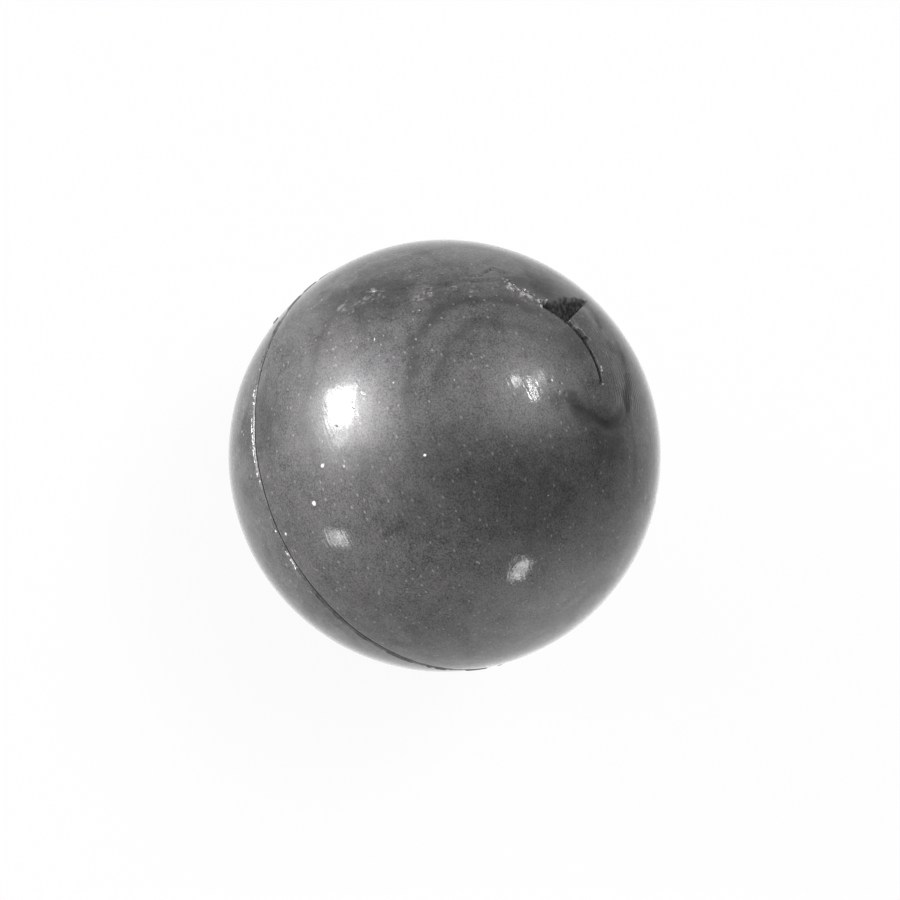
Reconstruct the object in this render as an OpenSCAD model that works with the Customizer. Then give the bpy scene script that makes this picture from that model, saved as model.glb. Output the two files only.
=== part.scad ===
// Friction ball for opening and closing screw-down watch case backs.
// An air-filled moulded rubber ball: two cover halves joined on a parting line, a bladder
// inside them, and a self-sealing needle valve at the bottom pole.
// Origin: centre of the ball. +Z is the mould axis, from the needle port up to the lap.

/* [Ball] */

// Outside diameter of the inflated ball
ball_d = 65; // [50:1:80]
// Wall thickness of the cover
cover_t = 3.0; // [2.2:0.1:4.2]
// Wall thickness of the bladder inside it
bladder_t = 1.6; // [1:0.1:2.4]

/* [Parting line] */

// Thickness of the cement film between the cover halves
cement_t = 0.2; // [0.1:0.05:0.4]
// Width of the groove on each side of the joint
seam_groove_w = 0.35; // [0.2:0.05:0.6]
// Depth of the groove
seam_groove_depth = 0.3; // [0.15:0.05:0.6]
// Height of the flash bead that stands beside the groove
flash_h = 0.15; // [0.05:0.05:0.3]

/* [Lap] */

// Opening of the lap at its wide end, along the surface
lap_gap_w = 1.4; // [0.6:0.1:2]
// Depth of the lap's crack
lap_depth = 1.5; // [0.6:0.1:1.8]
// Height of the proud lip along the front of the crack
lap_lip_h = 0.25; // [0.1:0.05:0.5]
// Depth of the wedge-shaped notch where the lap begins
notch_depth = 1.8; // [0.8:0.1:2]
// Depth of the creases round the tongue
crease_depth = 0.3; // [0.1:0.05:0.6]

/* [Needle valve] */

// Diameter of the needle port through the cover
port_d = 2.4; // [2:0.1:3.4]
// Diameter of the plug
plug_d = 4.0; // [3.6:0.1:5]
// Wall of the boot around the plug
boot_wall = 2.2; // [1.4:0.1:3]
// Length of the boot, inwards from the bladder
boot_len = 9.5; // [7:0.5:12]
// Diameter of the flange that is bonded to the bladder
flange_d = 16; // [14:0.5:20]
// Thickness of the flange
flange_t = 1.1; // [0.6:0.1:1.6]

/* [Splice tape] */

// Width of the tape over the bladder's joint
tape_w = 9; // [5:0.5:14]
// Thickness of the tape
tape_t = 0.7; // [0.4:0.1:1.2]

/* [Hidden] */
$fn = 96;
ball_r = ball_d / 2;
cover_in_r = ball_r - cover_t;
bladder_in_r = cover_in_r - bladder_t;
far = ball_d;
boot_r = plug_d / 2 + boot_wall;
neck_r = plug_d / 2 + boot_wall / 2;
plug_floor_z = -(bladder_in_r - boot_len + 2);
deg_per_mm = 180 / (PI * ball_r);

// The lap's own axis: polar angle from +Z, and azimuth
lap_tilt = 19;
lap_az = -120;
// Front edge of the crack, as an angle from the lap's axis, and its two ends
crack_polar = 24.3;
crack_from = 187;
crack_to = 245;
// The older fold line across the far shoulder
fold_tilt = 32.4;
fold_az = -103.4;

// ---- helpers ------------------------------------------------------------

// A point of a meridian half plane, from its radius and polar angle
function polar_pt(r, polar) = [r * sin(polar), r * cos(polar)];

// Everything above a height
module above(z) {
    translate([-far, -far, z]) cube([2 * far, 2 * far, far]);
}

// Everything below a height
module below(z) {
    mirror([0, 0, 1]) above(-z);
}

// A solid ring sector about +Z, drawn as a polygon in the meridian plane
module sector(from, to, pts) {
    rotate([0, 0, from]) rotate_extrude(angle = to - from) polygon(pts);
}

// A wedge-shaped cut in the surface, wide at the top and sharp at its bottom
module groove(polar, width, depth, from, to) {
    wide = width * deg_per_mm;
    sector(from, to, [
        polar_pt(ball_r - depth, polar + 0.25 * wide),
        polar_pt(ball_r + 1, polar - 0.05 * wide),
        polar_pt(ball_r + 1, polar + 1.05 * wide)
    ]);
}

// A low rounded lip that stands proud of the surface along part of a small circle
module lip(polar, height, from, to) {
    bead_r = 0.9;
    mid = ball_r + height - bead_r;
    rotate([0, 0, from]) rotate_extrude(angle = to - from)
        translate(polar_pt(mid, polar)) circle(r = bead_r);
}

module lap_frame() {
    rotate([0, lap_tilt, lap_az]) children();
}

module fold_frame() {
    rotate([0, fold_tilt, fold_az]) children();
}

// A cut that only reaches a stated depth below the surface
module skin_cut(depth) {
    difference() {
        children();
        sphere(r = ball_r - depth);
    }
}

// ---- lap -----------------------------------------------------------------

// A cone about +Z with its apex at the ball's centre, whose edge is at a polar angle
module cone(polar) {
    cylinder(r1 = 0, r2 = 2 * ball_r * tan(polar), h = 2 * ball_r);
}

// A crescent between the crack's front edge and a second circle that leans away from it
module crescent(reach, lean_az, lean, from, to, depth) {
    skin_cut(depth) difference() {
        intersection() {
            rotate([0, 0, lean_az]) rotate([0, lean, 0]) cone(reach - lean);
            sector(from, to, [[0.5, 0], [far, 0], [far, far], [0.5, far]]);
        }
        cone(crack_polar);
    }
}

// The crack of the lap: it flares beside the notch and closes to nothing at its far end
module lap_crack() {
    wide = lap_gap_w * deg_per_mm;
    crescent(crack_polar + 0.62 * wide, 238, 3.4, 188.5, crack_to, lap_depth);
    crescent(crack_polar + 1.25 * wide, 240, 9, 200, 243, lap_depth * 0.7);
}

// The notch: a long wedge with one straight edge, running back from the crack
module lap_notch() {
    s = ball_r / 32.5;
    skin_cut(notch_depth)
        rotate([0, 0, 229.5]) rotate([0, 35, 0])
            linear_extrude(height = ball_r + 3) polygon([
                [-6.2 * s, -0.1 * s], [6.6 * s, 0], [1.6 * s, 1.3 * s],
                [-3.0 * s, 3.0 * s], [-6.2 * s, 3.6 * s]
            ]);
}

// The creases that bound the tongue: outer line, rounded nose and lower edge
module tongue_creases() {
    w = 0.8;
    groove(33.6, w, crease_depth, 176, 204);
    groove(40.6, w, crease_depth, 211, 224);
    rotate([0, 0, 176]) rotate([0, 28.4, 0]) groove(4.8, w, crease_depth, -8, 98);
    sector(165.6, 167.4, [
        polar_pt(ball_r - crease_depth, 14),
        polar_pt(ball_r + 1, 13),
        polar_pt(ball_r + 1, 30),
        polar_pt(ball_r - crease_depth, 28)
    ]);
}

// The fold line over the far shoulder, and the row of crumbs that leads to it
module fold_line() {
    groove(37.4, 0.5, crease_depth, 249, 277);
    groove(41.2, 0.4, crease_depth, 279, 300);
    groove(40.3, 0.6, crease_depth * 1.6, 219, 237);
    groove(45.3, 0.4, crease_depth, 236, 243.5);
}

// Small round pits left by trapped air: polar angle, azimuth and radius of each
pits = [[7.2, 227, 0.55], [6.0, 251, 0.45], [7.7, 247, 0.4], [29.5, 163, 0.45], [34.5, 160, 0.4]];

module air_pits() {
    for (p = pits)
        rotate([0, p[0], p[1]]) translate([0, 0, ball_r + 0.1]) sphere(r = p[2]);
}

// ---- cover ---------------------------------------------------------------

module half_shell(outer, inner) {
    difference() {
        sphere(r = outer);
        sphere(r = inner);
    }
}

// The ring that is cut from both cover halves to leave the groove of the parting line
module seam_groove() {
    rotate_extrude() polygon([
        [ball_r - seam_groove_depth, 0],
        [ball_r + 1, -seam_groove_w - 1 * seam_groove_w],
        [ball_r + 1, seam_groove_w + 1 * seam_groove_w]
    ]);
}

// The flash bead that stands beside the groove, on the lower half
module flash_bead() {
    bead_r = 0.4;
    polar = 90 + (seam_groove_w + 0.55) * deg_per_mm;
    rotate_extrude() translate(polar_pt(ball_r + flash_h - bead_r, polar)) circle(r = bead_r);
}

module upper_cover() {
    color([0.33, 0.32, 0.33]) difference() {
        union() {
            half_shell(ball_r, cover_in_r);
            lap_frame() lip(crack_polar - 1.7, lap_lip_h, crack_from, crack_to - 3);
        }
        below(cement_t / 2);
        seam_groove();
        lap_frame() {
            lap_crack();
            lap_notch();
            tongue_creases();
        }
        fold_frame() fold_line();
        air_pits();
    }
}

module lower_cover() {
    color([0.31, 0.30, 0.31]) difference() {
        union() {
            half_shell(ball_r, cover_in_r);
            flash_bead();
        }
        above(-cement_t / 2);
        seam_groove();
        translate([0, 0, -ball_r - 1]) cylinder(r = port_d / 2, h = cover_t + 2);
    }
}

module cover_cement_ring() {
    color([0.12, 0.11, 0.10]) difference() {
        cylinder(r = ball_r - seam_groove_depth - 0.05, h = cement_t, center = true);
        sphere(r = cover_in_r);
    }
}

// ---- bladder -------------------------------------------------------------

module upper_bladder() {
    color([0.10, 0.10, 0.11]) difference() {
        half_shell(cover_in_r, bladder_in_r);
        below(0);
    }
}

module lower_bladder() {
    color([0.11, 0.11, 0.12]) difference() {
        half_shell(cover_in_r, bladder_in_r);
        above(0);
        translate([0, 0, -ball_r]) cylinder(r = neck_r, h = cover_t + bladder_t + 4);
    }
}

module bladder_splice_tape() {
    color([0.55, 0.44, 0.28]) intersection() {
        half_shell(bladder_in_r, bladder_in_r - tape_t);
        cylinder(r = ball_r, h = tape_w, center = true);
    }
}

// ---- valve ---------------------------------------------------------------

// The space the plug fills, from the cover's inner face up to the floor of the boot
module plug_space() {
    translate([0, 0, -ball_r]) cylinder(r = plug_d / 2, h = ball_r + plug_floor_z);
}

module valve_boot() {
    top_z = -(bladder_in_r - boot_len);
    color([0.16, 0.15, 0.15]) difference() {
        union() {
            // neck through the bladder
            intersection() {
                sphere(r = cover_in_r);
                translate([0, 0, -ball_r]) cylinder(r = neck_r, h = ball_r - bladder_in_r + 1);
            }
            // flange that follows the bladder's inner face
            intersection() {
                half_shell(bladder_in_r, bladder_in_r - flange_t);
                translate([0, 0, -ball_r]) cylinder(r = flange_d / 2, h = ball_r / 2);
            }
            // body
            intersection() {
                sphere(r = bladder_in_r);
                translate([0, 0, -ball_r]) cylinder(r = boot_r, h = ball_r + top_z);
            }
        }
        plug_space();
        // the breathing hole that the needle's tip comes out of
        translate([0, 0, plug_floor_z - 1]) cylinder(r = 0.6, h = 4);
    }
}

module valve_plug() {
    color([0.62, 0.52, 0.34]) difference() {
        intersection() {
            sphere(r = cover_in_r);
            plug_space();
        }
        // pilot hole, then the slit that closes behind the needle
        translate([0, 0, -cover_in_r - 1]) cylinder(r = 0.7, h = 4);
        translate([-0.7, -0.06, -cover_in_r + 2]) cube([1.4, 0.12, ball_r]);
    }
}

upper_cover();
lower_cover();
cover_cement_ring();
upper_bladder();
lower_bladder();
bladder_splice_tape();
valve_boot();
valve_plug();
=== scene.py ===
"""Visual model of an air-filled rubber friction ball for opening watch case backs, and its studio."""

from __future__ import annotations

import logging
import math
from dataclasses import dataclass, field
from enum import Enum
from typing import Callable, Protocol

import bmesh
import bpy
import numpy as np
from mathutils import Matrix, Vector, noise

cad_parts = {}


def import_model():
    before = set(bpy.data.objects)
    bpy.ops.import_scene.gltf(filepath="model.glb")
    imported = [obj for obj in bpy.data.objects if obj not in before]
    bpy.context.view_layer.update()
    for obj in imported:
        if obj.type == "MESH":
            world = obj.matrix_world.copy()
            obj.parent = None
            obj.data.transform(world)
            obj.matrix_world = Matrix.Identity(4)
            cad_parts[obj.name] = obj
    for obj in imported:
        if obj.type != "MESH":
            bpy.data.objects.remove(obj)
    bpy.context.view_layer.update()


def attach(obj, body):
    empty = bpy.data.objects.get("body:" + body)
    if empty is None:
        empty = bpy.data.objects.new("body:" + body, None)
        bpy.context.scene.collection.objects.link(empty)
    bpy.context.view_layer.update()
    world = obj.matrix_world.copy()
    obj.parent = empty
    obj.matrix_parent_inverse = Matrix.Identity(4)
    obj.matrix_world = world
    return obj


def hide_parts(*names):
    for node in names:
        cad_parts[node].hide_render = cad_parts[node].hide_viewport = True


LOG = logging.getLogger("friction_ball")
MM = 0.001
FULL_TURN = 360.0
BALL_RADIUS = 32.5
ANY_SPACING = 9.0
LESS_GREEN = 1 - 0.02
# A unit vector from the ball's centre.
Direction = tuple[float, float, float]
# A noise pattern: the size of its features in millimetres, its seed and its layers.
Pattern = tuple[float, float, int]
# A range of values, and the range that it turns into.
Band = tuple[float, float, float, float]


class Half(Enum):
    """Which side of the parting plane a piece is on. The value is the sign of its heights."""

    UPPER = 1
    LOWER = -1


# ---- small tools ---------------------------------------------------------


def ease(low: float, high: float, value: np.ndarray) -> np.ndarray:
    """Smooth step from 0 at low to 1 at high.

    Args:
        low: Where the step starts.
        high: Where the step ends.
        value: The values to step.

    Returns:
        An array of the same length, from 0 to 1.
    """
    t = np.clip((value - low) / (high - low), 0.0, 1.0)
    return t * t * (3.0 - 2.0 * t)


def hump(offset: np.ndarray, width: float) -> np.ndarray:
    """Bell curve of a given half width.

    Args:
        offset: Distances from its middle.
        width: Distance at which it has fallen to about a third.

    Returns:
        Heights from 0 to 1.
    """
    return np.exp(-((offset / width) ** 2))


def clouds(points: np.ndarray, size: float, seed: float, octaves: int = 3) -> np.ndarray:
    """Smooth noise at each point.

    Args:
        points: Positions in millimetres, one row each.
        size: Size of its largest features in millimetres.
        seed: Shift that picks one pattern.
        octaves: How many finer layers are added.

    Returns:
        Values of about -1 to 1.
    """
    shift = Vector((seed, 1.7 * seed, -0.6 * seed))
    return np.array(
        [noise.fractal(Vector(p) / size + shift, 1.0, 2.0, octaves) for p in points.tolist()]
    )


def along_skin(unit: np.ndarray, place: Direction, radius: float) -> np.ndarray:
    """Distance along the skin from one place.

    Args:
        unit: Unit directions, one row each.
        place: The place's unit direction.
        radius: The ball's radius in millimetres.

    Returns:
        A distance for each direction, in millimetres.
    """
    return np.arccos(np.clip(unit @ np.array(place), -1, 1)) * radius


def around(polar: np.ndarray, turn: np.ndarray, radius: float) -> np.ndarray:
    """Distance along the skin round an axis.

    Args:
        polar: Angles from the axis in degrees.
        turn: Angles round the axis in degrees.
        radius: The ball's radius in millimetres.

    Returns:
        A distance for each, in millimetres.
    """
    return np.radians(turn) * radius * np.sin(np.radians(polar))


def spaced(*zones: tuple[np.ndarray, float]) -> np.ndarray:
    """Mesh spacings of nested zones.

    Args:
        zones: Where each zone is and what spacing it needs, the finest first.

    Returns:
        A spacing for each direction, the coarsest where no zone is.
    """
    wanted = np.full(len(zones[0][0]), ANY_SPACING)
    for inside, spacing in reversed(zones):
        wanted = np.where(inside, spacing, wanted)
    return wanted


def leave_edit_mode() -> None:
    """Goes back to object mode from wherever the last tool left off."""
    if bpy.context.object is not None and bpy.context.object.mode != "OBJECT":
        bpy.ops.object.mode_set(mode="OBJECT")


def take(obj: bpy.types.Object) -> None:
    """Deselects everything, then selects one object and makes it active.

    Args:
        obj: The object to work on.
    """
    leave_edit_mode()
    bpy.ops.object.select_all(action="DESELECT")
    obj.select_set(True)
    bpy.context.view_layer.objects.active = obj


def positions(obj: bpy.types.Object) -> np.ndarray:
    """Places of a mesh's vertices.

    Args:
        obj: A mesh object at the origin.

    Returns:
        One row for each vertex, in millimetres.
    """
    flat = np.empty(len(obj.data.vertices) * 3, dtype=np.float32)
    obj.data.vertices.foreach_get("co", flat)
    return flat.reshape(-1, 3).astype(float) / MM


def set_positions(obj: bpy.types.Object, places: np.ndarray) -> None:
    """Moves a mesh's vertices.

    Args:
        obj: A mesh object at the origin.
        places: One row for each vertex, in millimetres.
    """
    obj.data.vertices.foreach_set("co", (places * MM).astype(np.float32).ravel())
    obj.data.update()


def edit_faces(obj: bpy.types.Object, chosen: Callable[[np.ndarray, np.ndarray], np.ndarray]) -> int:
    """Enters edit mode with only the chosen faces selected.

    Args:
        obj: The mesh object.
        chosen: Given the face centres and the longest edge of each in millimetres, says which to take.

    Returns:
        How many faces are selected.
    """
    take(obj)
    bpy.ops.object.mode_set(mode="EDIT")
    bpy.ops.mesh.select_mode(type="FACE")
    bpy.ops.mesh.select_all(action="DESELECT")
    mesh = bmesh.from_edit_mesh(obj.data)
    centres = np.array([f.calc_center_median()[:] for f in mesh.faces]) / MM
    longest = np.array([max(e.calc_length() for e in f.edges) for f in mesh.faces]) / MM
    keep = chosen(centres, longest)
    for face, wanted in zip(mesh.faces, keep):
        face.select_set(bool(wanted))
    bmesh.update_edit_mesh(obj.data)
    return int(np.count_nonzero(keep))


def apply_modifier(obj: bpy.types.Object, name: str) -> None:
    """Applies one modifier.

    Args:
        obj: The object that has it.
        name: The modifier's name.
    """
    take(obj)
    bpy.ops.object.modifier_apply(modifier=name)


def cut_away(piece: bpy.types.Object, cutter: bpy.types.Object, name: str) -> None:
    """Cuts one object's shape out of another and uses the cutter up.

    Args:
        piece: The object that is cut.
        cutter: The object whose shape is taken away.
        name: What the cut is.
    """
    cut = piece.modifiers.new(name, "BOOLEAN")
    cut.operation, cut.object, cut.solver = "DIFFERENCE", cutter, "EXACT"
    apply_modifier(piece, cut.name)
    bpy.data.objects.remove(cutter, do_unlink=True)


def add_cylinder(radius: float, depth: float, height: float, sides: int) -> bpy.types.Object:
    """Adds an upright cylinder on the mould axis.

    Args:
        radius: Its radius in millimetres.
        depth: Its length in millimetres.
        height: Height of its middle in millimetres.
        sides: How many sides it has.

    Returns:
        The cylinder, at the origin, with its place in its mesh.
    """
    bpy.ops.object.select_all(action="DESELECT")
    bpy.ops.mesh.primitive_cylinder_add(vertices=sides, radius=radius * MM, depth=depth * MM,
                                        location=(0, 0, height * MM))
    made = bpy.context.object
    bpy.ops.object.transform_apply(location=True, rotation=True, scale=True)
    return made


def settle(piece: bpy.types.Object, finish: bpy.types.Material, node: str) -> None:
    """Gives a piece its finish and the node that it stands for.

    Args:
        piece: The built piece.
        finish: Its material.
        node: Name of the frame's node.
    """
    piece.data.materials.clear()
    piece.data.materials.append(finish)
    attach(piece, "root")
    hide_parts(node)


# ---- places on the ball --------------------------------------------------


@dataclass(frozen=True)
class Pole:
    """An axis through the ball's centre, and angles measured about it."""

    tilt: float
    azimuth: float

    def turn(self) -> np.ndarray:
        """Matrix from the ball's frame to this axis's own frame.

        Returns:
            Three rows and three columns.
        """
        t, a = math.radians(self.tilt), math.radians(self.azimuth)
        about_z = np.array([[math.cos(a), -math.sin(a), 0], [math.sin(a), math.cos(a), 0], [0, 0, 1]])
        about_y = np.array([[math.cos(t), 0, math.sin(t)], [0, 1, 0], [-math.sin(t), 0, math.cos(t)]])
        return (about_z @ about_y).T

    def angles(self, unit: np.ndarray) -> tuple[np.ndarray, np.ndarray]:
        """Polar angle and azimuth of directions about this axis.

        Args:
            unit: Unit directions in the ball's frame, one row each.

        Returns:
            The angles from the axis, and the azimuths from 0 to 360, in degrees.
        """
        own = unit @ self.turn().T
        polar = np.degrees(np.arccos(np.clip(own[:, 2], -1.0, 1.0)))
        return polar, np.degrees(np.arctan2(own[:, 1], own[:, 0])) % FULL_TURN

    def point(self, polar: float, azimuth: float) -> Direction:
        """Unit direction in the ball's frame of a point given about this axis.

        Args:
            polar: Angle from the axis in degrees.
            azimuth: Azimuth about the axis in degrees.

        Returns:
            A unit vector.
        """
        p, a = math.radians(polar), math.radians(azimuth)
        own = np.array([math.sin(p) * math.cos(a), math.sin(p) * math.sin(a), math.cos(p)])
        return tuple(self.turn().T @ own)


MOULD_POLE = Pole(0.0, 0.0)
LAP_POLE = Pole(19.0, -120.0)
FOLD_POLE = Pole(32.4, -103.4)


# ---- relief of the skin --------------------------------------------------


class Relief(Protocol):
    """Something that stands out of the ball's skin or goes into it."""

    def height(self, unit: np.ndarray, radius: float) -> np.ndarray:
        """Height above the plain ball at each direction, in millimetres.

        Args:
            unit: Unit directions, one row each.
            radius: The ball's radius in millimetres.

        Returns:
            A height for each direction.
        """

    def spacing(self, unit: np.ndarray, radius: float) -> np.ndarray:
        """Mesh spacing that it needs at each direction, in millimetres.

        Args:
            unit: Unit directions, one row each.
            radius: The ball's radius in millimetres.

        Returns:
            A spacing for each direction.
        """


@dataclass(frozen=True)
class LapCrack:
    """The open edge of the lap: a crisp front lip, a gap that tapers to nothing, and a soft far side."""

    front: float = 24.3
    start: float = 187.0
    end: float = 246.0
    stations: tuple[float, ...] = (187, 193, 200, 207, 212, 215.5, 218, 223, 229, 246)
    widths: tuple[float, ...] = (0.60, 0.82, 0.92, 1.10, 1.30, 2.00, 1.70, 1.60, 2.0, 2.0)
    depths: tuple[float, ...] = (0.70, 1.30, 1.45, 1.60, 1.70, 1.60, 1.75, 1.85, 1.95, 1.6)
    lip_height: float = 0.22
    lip_reach: float = 1.5
    wall: float = 0.13
    fine: float = 0.075
    medium: float = 0.27
    ragged: float = 0.10
    ragged_pattern: Pattern = (1.4, 15.0, 3)
    floor_share: float = 0.55
    slope: tuple[float, float] = (0.6, 0.05)
    start_fade: float = 5.0
    end_fade: tuple[float, float] = (1.5, 1.0)
    margin: float = 3.0
    tight_zone: tuple[float, float, float] = (0.22, 1.0, 0.3)
    near_zone: tuple[float, float] = (1.6, 1.0)

    def across(self, polar: np.ndarray, radius: float) -> np.ndarray:
        """Distance beyond the front edge along the skin, in millimetres."""
        return np.radians(polar - self.front) * radius

    def along(self, azimuth: np.ndarray) -> np.ndarray:
        """1 between the crack's ends and 0 beyond them.

        Args:
            azimuth: Azimuths about the lap's axis in degrees.

        Returns:
            A share for each.
        """
        before, after = self.end_fade
        opened = ease(self.start, self.start + self.start_fade, azimuth)
        return opened * (1 - ease(self.end - before, self.end + after, azimuth))

    def height(self, unit: np.ndarray, radius: float) -> np.ndarray:
        """Height above the plain ball at each direction, in millimetres.

        Args:
            unit: Unit directions, one row each.
            radius: The ball's radius in millimetres.

        Returns:
            A height for each direction.
        """
        polar, azimuth = LAP_POLE.angles(unit)
        s, on = self.across(polar, radius), self.along(azimuth)
        ragged = 1 + self.ragged * clouds(unit * radius, *self.ragged_pattern)
        width = np.interp(azimuth, self.stations, self.widths) * ragged
        depth = np.interp(azimuth, self.stations, self.depths)
        slope = self.slope[0] * width + self.slope[1]
        gap = ease(0.0, self.wall, s) * (1 - ease(0.0, 1.0, (s - self.floor_share * width) / slope))
        lip = np.where(s < 0, np.exp(s / self.lip_reach), np.maximum(0, 1 - s / self.wall))
        return on * (self.lip_height * lip - depth * gap)

    def spacing(self, unit: np.ndarray, radius: float) -> np.ndarray:
        """Mesh spacing that it needs at each direction, in millimetres.

        Args:
            unit: Unit directions, one row each.
            radius: The ball's radius in millimetres.

        Returns:
            A spacing for each direction.
        """
        polar, azimuth = LAP_POLE.angles(unit)
        s = self.across(polar, radius)
        inside = (azimuth > self.start - self.margin) & (azimuth < self.end + self.margin)
        width = np.interp(azimuth, self.stations, self.widths)
        before, widest, after = self.tight_zone
        tight = inside & (s > -before) & (s < np.minimum(width, widest) + after)
        near = inside & (s > -self.near_zone[0]) & (s < width + self.near_zone[1])
        return spaced((tight, self.fine), (near, self.medium))


@dataclass(frozen=True)
class LapNotch:
    """The wedge-shaped hollow where the lap starts: a steep wall, and a floor that ramps up away from it."""

    mouth: float = 24.3
    tip: float = 44.0
    wall_azimuth: float = 229.6
    ramp_azimuth: float = 246.5
    depth: float = 2.1
    ramp_power: float = 2.3
    shallow_from: float = 35.0
    tip_share: float = 0.8
    wall: float = 0.22
    fine: float = 0.14
    medium: float = 0.27
    ragged: float = 1.0
    ragged_pattern: Pattern = (1.1, 27.0, 4)
    rough: float = 0.34
    rough_pattern: Pattern = (1.3, 4.0, 4)
    wall_zone: float = 0.45
    margins: tuple[float, float, float] = (1.0, 3.0, 2.0)

    def share(self, polar: np.ndarray, azimuth: np.ndarray) -> np.ndarray:
        """0 at the ramp's top and 1 at the steep wall, and past those limits outside the notch.

        Args:
            polar: Angles from the lap's axis in degrees.
            azimuth: Azimuths about it in degrees.

        Returns:
            A share for each.
        """
        back = np.clip((polar - self.mouth) / (self.tip - self.mouth), 0.0, 1.2)
        left = self.ramp_azimuth + (self.wall_azimuth - self.ramp_azimuth) * back
        return (left - azimuth) / np.maximum(left - self.wall_azimuth, 0.4)

    def height(self, unit: np.ndarray, radius: float) -> np.ndarray:
        """Height above the plain ball at each direction, in millimetres.

        Args:
            unit: Unit directions, one row each.
            radius: The ball's radius in millimetres.

        Returns:
            A height for each direction.
        """
        polar, azimuth = LAP_POLE.angles(unit)
        across = around(polar, azimuth - self.wall_azimuth, radius)
        beyond = np.radians(polar - self.mouth) * radius
        rough = clouds(unit * radius, *self.rough_pattern)
        frayed = azimuth + self.ragged * clouds(unit * radius, *self.ragged_pattern)
        floor = 1 - (1 - np.clip(self.share(polar, frayed), 0, 1)) ** self.ramp_power
        deep = self.depth * (1 - ease(self.shallow_from, self.tip, polar) * self.tip_share)
        cut = floor * ease(0.0, self.wall, across) * ease(0.0, self.wall, beyond)
        return -cut * deep * (1 + self.rough * rough) * (polar < self.tip + self.margins[0])

    def spacing(self, unit: np.ndarray, radius: float) -> np.ndarray:
        """Mesh spacing that it needs at each direction, in millimetres.

        Args:
            unit: Unit directions, one row each.
            radius: The ball's radius in millimetres.

        Returns:
            A spacing for each direction.
        """
        polar, azimuth = LAP_POLE.angles(unit)
        across = around(polar, azimuth - self.wall_azimuth, radius)
        beyond, before, after = self.margins
        inside = (polar > self.mouth - beyond) & (polar < self.tip + beyond)
        wall = inside & (np.abs(across) < self.wall_zone)
        hollow = inside & (azimuth > self.wall_azimuth - before) & (azimuth < self.ramp_azimuth + after)
        return spaced((wall, self.fine), (hollow, self.medium))


@dataclass(frozen=True)
class Tongue:
    """The folded-over strip beyond the crack: a low pillow with a blunt nose, a crease, and flow lines."""

    outer: float = 34.2
    nose_azimuth: float = 166.8
    root_azimuth: float = 229.5
    corner: float = 4.0
    rise: float = 0.13
    shoulder: float = 2.8
    inner: tuple[float, float] = (12.0, 24.5)
    crease: float = 0.16
    crease_width: float = 0.8
    streak_height: float = 0.055
    streak_pitch: float = 0.62
    streak_zone: tuple[float, float, float, float] = (26.5, 45.0, 176.0, 228.0)
    streak_sway: float = 3.5
    sway_pattern: Pattern = (5.0, 8.0, 2)
    patch_pattern: Pattern = (2.4, 19.0, 2)
    patches: tuple[float, float] = (0.6, 0.9)
    zone_fades: tuple[float, float, float, float] = (3.0, 6.0, 12.0, 6.0)
    root_fade: float = 0.3
    ring_from: tuple[float, float] = (8.0, 14.0)
    nose_end: tuple[float, float] = (180.0, 192.0)
    swells: tuple[tuple[float, float, float], ...] = ((1.3, 196.0, 212.0), (3.5, 208.0, 224.0))
    side_crease: float = 0.12
    edge_sway: float = 0.35
    edge_pattern: Pattern = (3.0, 17.0, 2)
    spacings: tuple[float, float, float] = (0.14, 0.2, 0.3)

    def inside(self, unit: np.ndarray, radius: float) -> np.ndarray:
        """Distance inside the tongue's outline, in millimetres, negative outside it.

        Args:
            unit: Unit directions, one row each.
            radius: The ball's radius in millimetres.

        Returns:
            A distance for each direction.
        """
        polar, azimuth = LAP_POLE.angles(unit)
        swell = sum(more * ease(first, last, azimuth) for more, first, last in self.swells)
        side = np.radians(self.outer + swell - polar) * radius
        end = around(polar, azimuth - self.nose_azimuth, radius)
        short_side = np.maximum(0, self.corner - side)
        short_end = np.maximum(0, self.corner - end)
        return self.corner - np.sqrt(short_side ** 2 + short_end ** 2)

    def height(self, unit: np.ndarray, radius: float) -> np.ndarray:
        """Height above the plain ball at each direction, in millimetres.

        Args:
            unit: Unit directions, one row each.
            radius: The ball's radius in millimetres.

        Returns:
            A height for each direction.
        """
        polar, azimuth = LAP_POLE.angles(unit)
        d = self.inside(unit, radius) + self.edge_sway * clouds(unit * radius, *self.edge_pattern)
        span = 1 - ease(self.root_azimuth - self.root_fade, self.root_azimuth + self.root_fade, azimuth)
        pillow = self.rise * ease(-0.2, self.shoulder, d) * ease(*self.inner, polar)
        share = self.side_crease + (1 - self.side_crease) * (1 - ease(*self.nose_end, azimuth))
        ring = self.crease * hump(d + 0.3, self.crease_width) * ease(*self.ring_from, polar) * share
        low, high, first, last = self.streak_zone
        after_low, before_high, after_first, before_last = self.zone_fades
        zone = ease(low, low + after_low, polar) * (1 - ease(high - before_high, high, polar))
        zone = zone * ease(first, first + after_first, azimuth)
        zone = zone * (1 - ease(last - before_last, last, azimuth))
        phase = np.radians(polar) * radius / self.streak_pitch * 2 * math.pi
        sway = self.streak_sway * clouds(unit * radius, *self.sway_pattern)
        streak = self.streak_height * np.sin(phase + sway)
        patchy = self.patches[0] + self.patches[1] * clouds(unit * radius, *self.patch_pattern)
        return span * (pillow - ring) + streak * zone * patchy

    def spacing(self, unit: np.ndarray, radius: float) -> np.ndarray:
        """Mesh spacing that it needs at each direction, in millimetres.

        Args:
            unit: Unit directions, one row each.
            radius: The ball's radius in millimetres.

        Returns:
            A spacing for each direction.
        """
        polar, azimuth = LAP_POLE.angles(unit)
        d = self.inside(unit, radius)
        root = (np.abs(azimuth - self.root_azimuth) < 1.2) & (d > 0) & (polar > 22)
        low, high, first, last = self.streak_zone
        streaked = (polar > low) & (polar < high) & (azimuth > first) & (azimuth < last)
        edge = (np.abs(d) < 1.6) & (azimuth < self.root_azimuth + 2) & (azimuth > 150) & (polar > 8)
        return spaced(*zip((root, streaked, edge), self.spacings))


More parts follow.
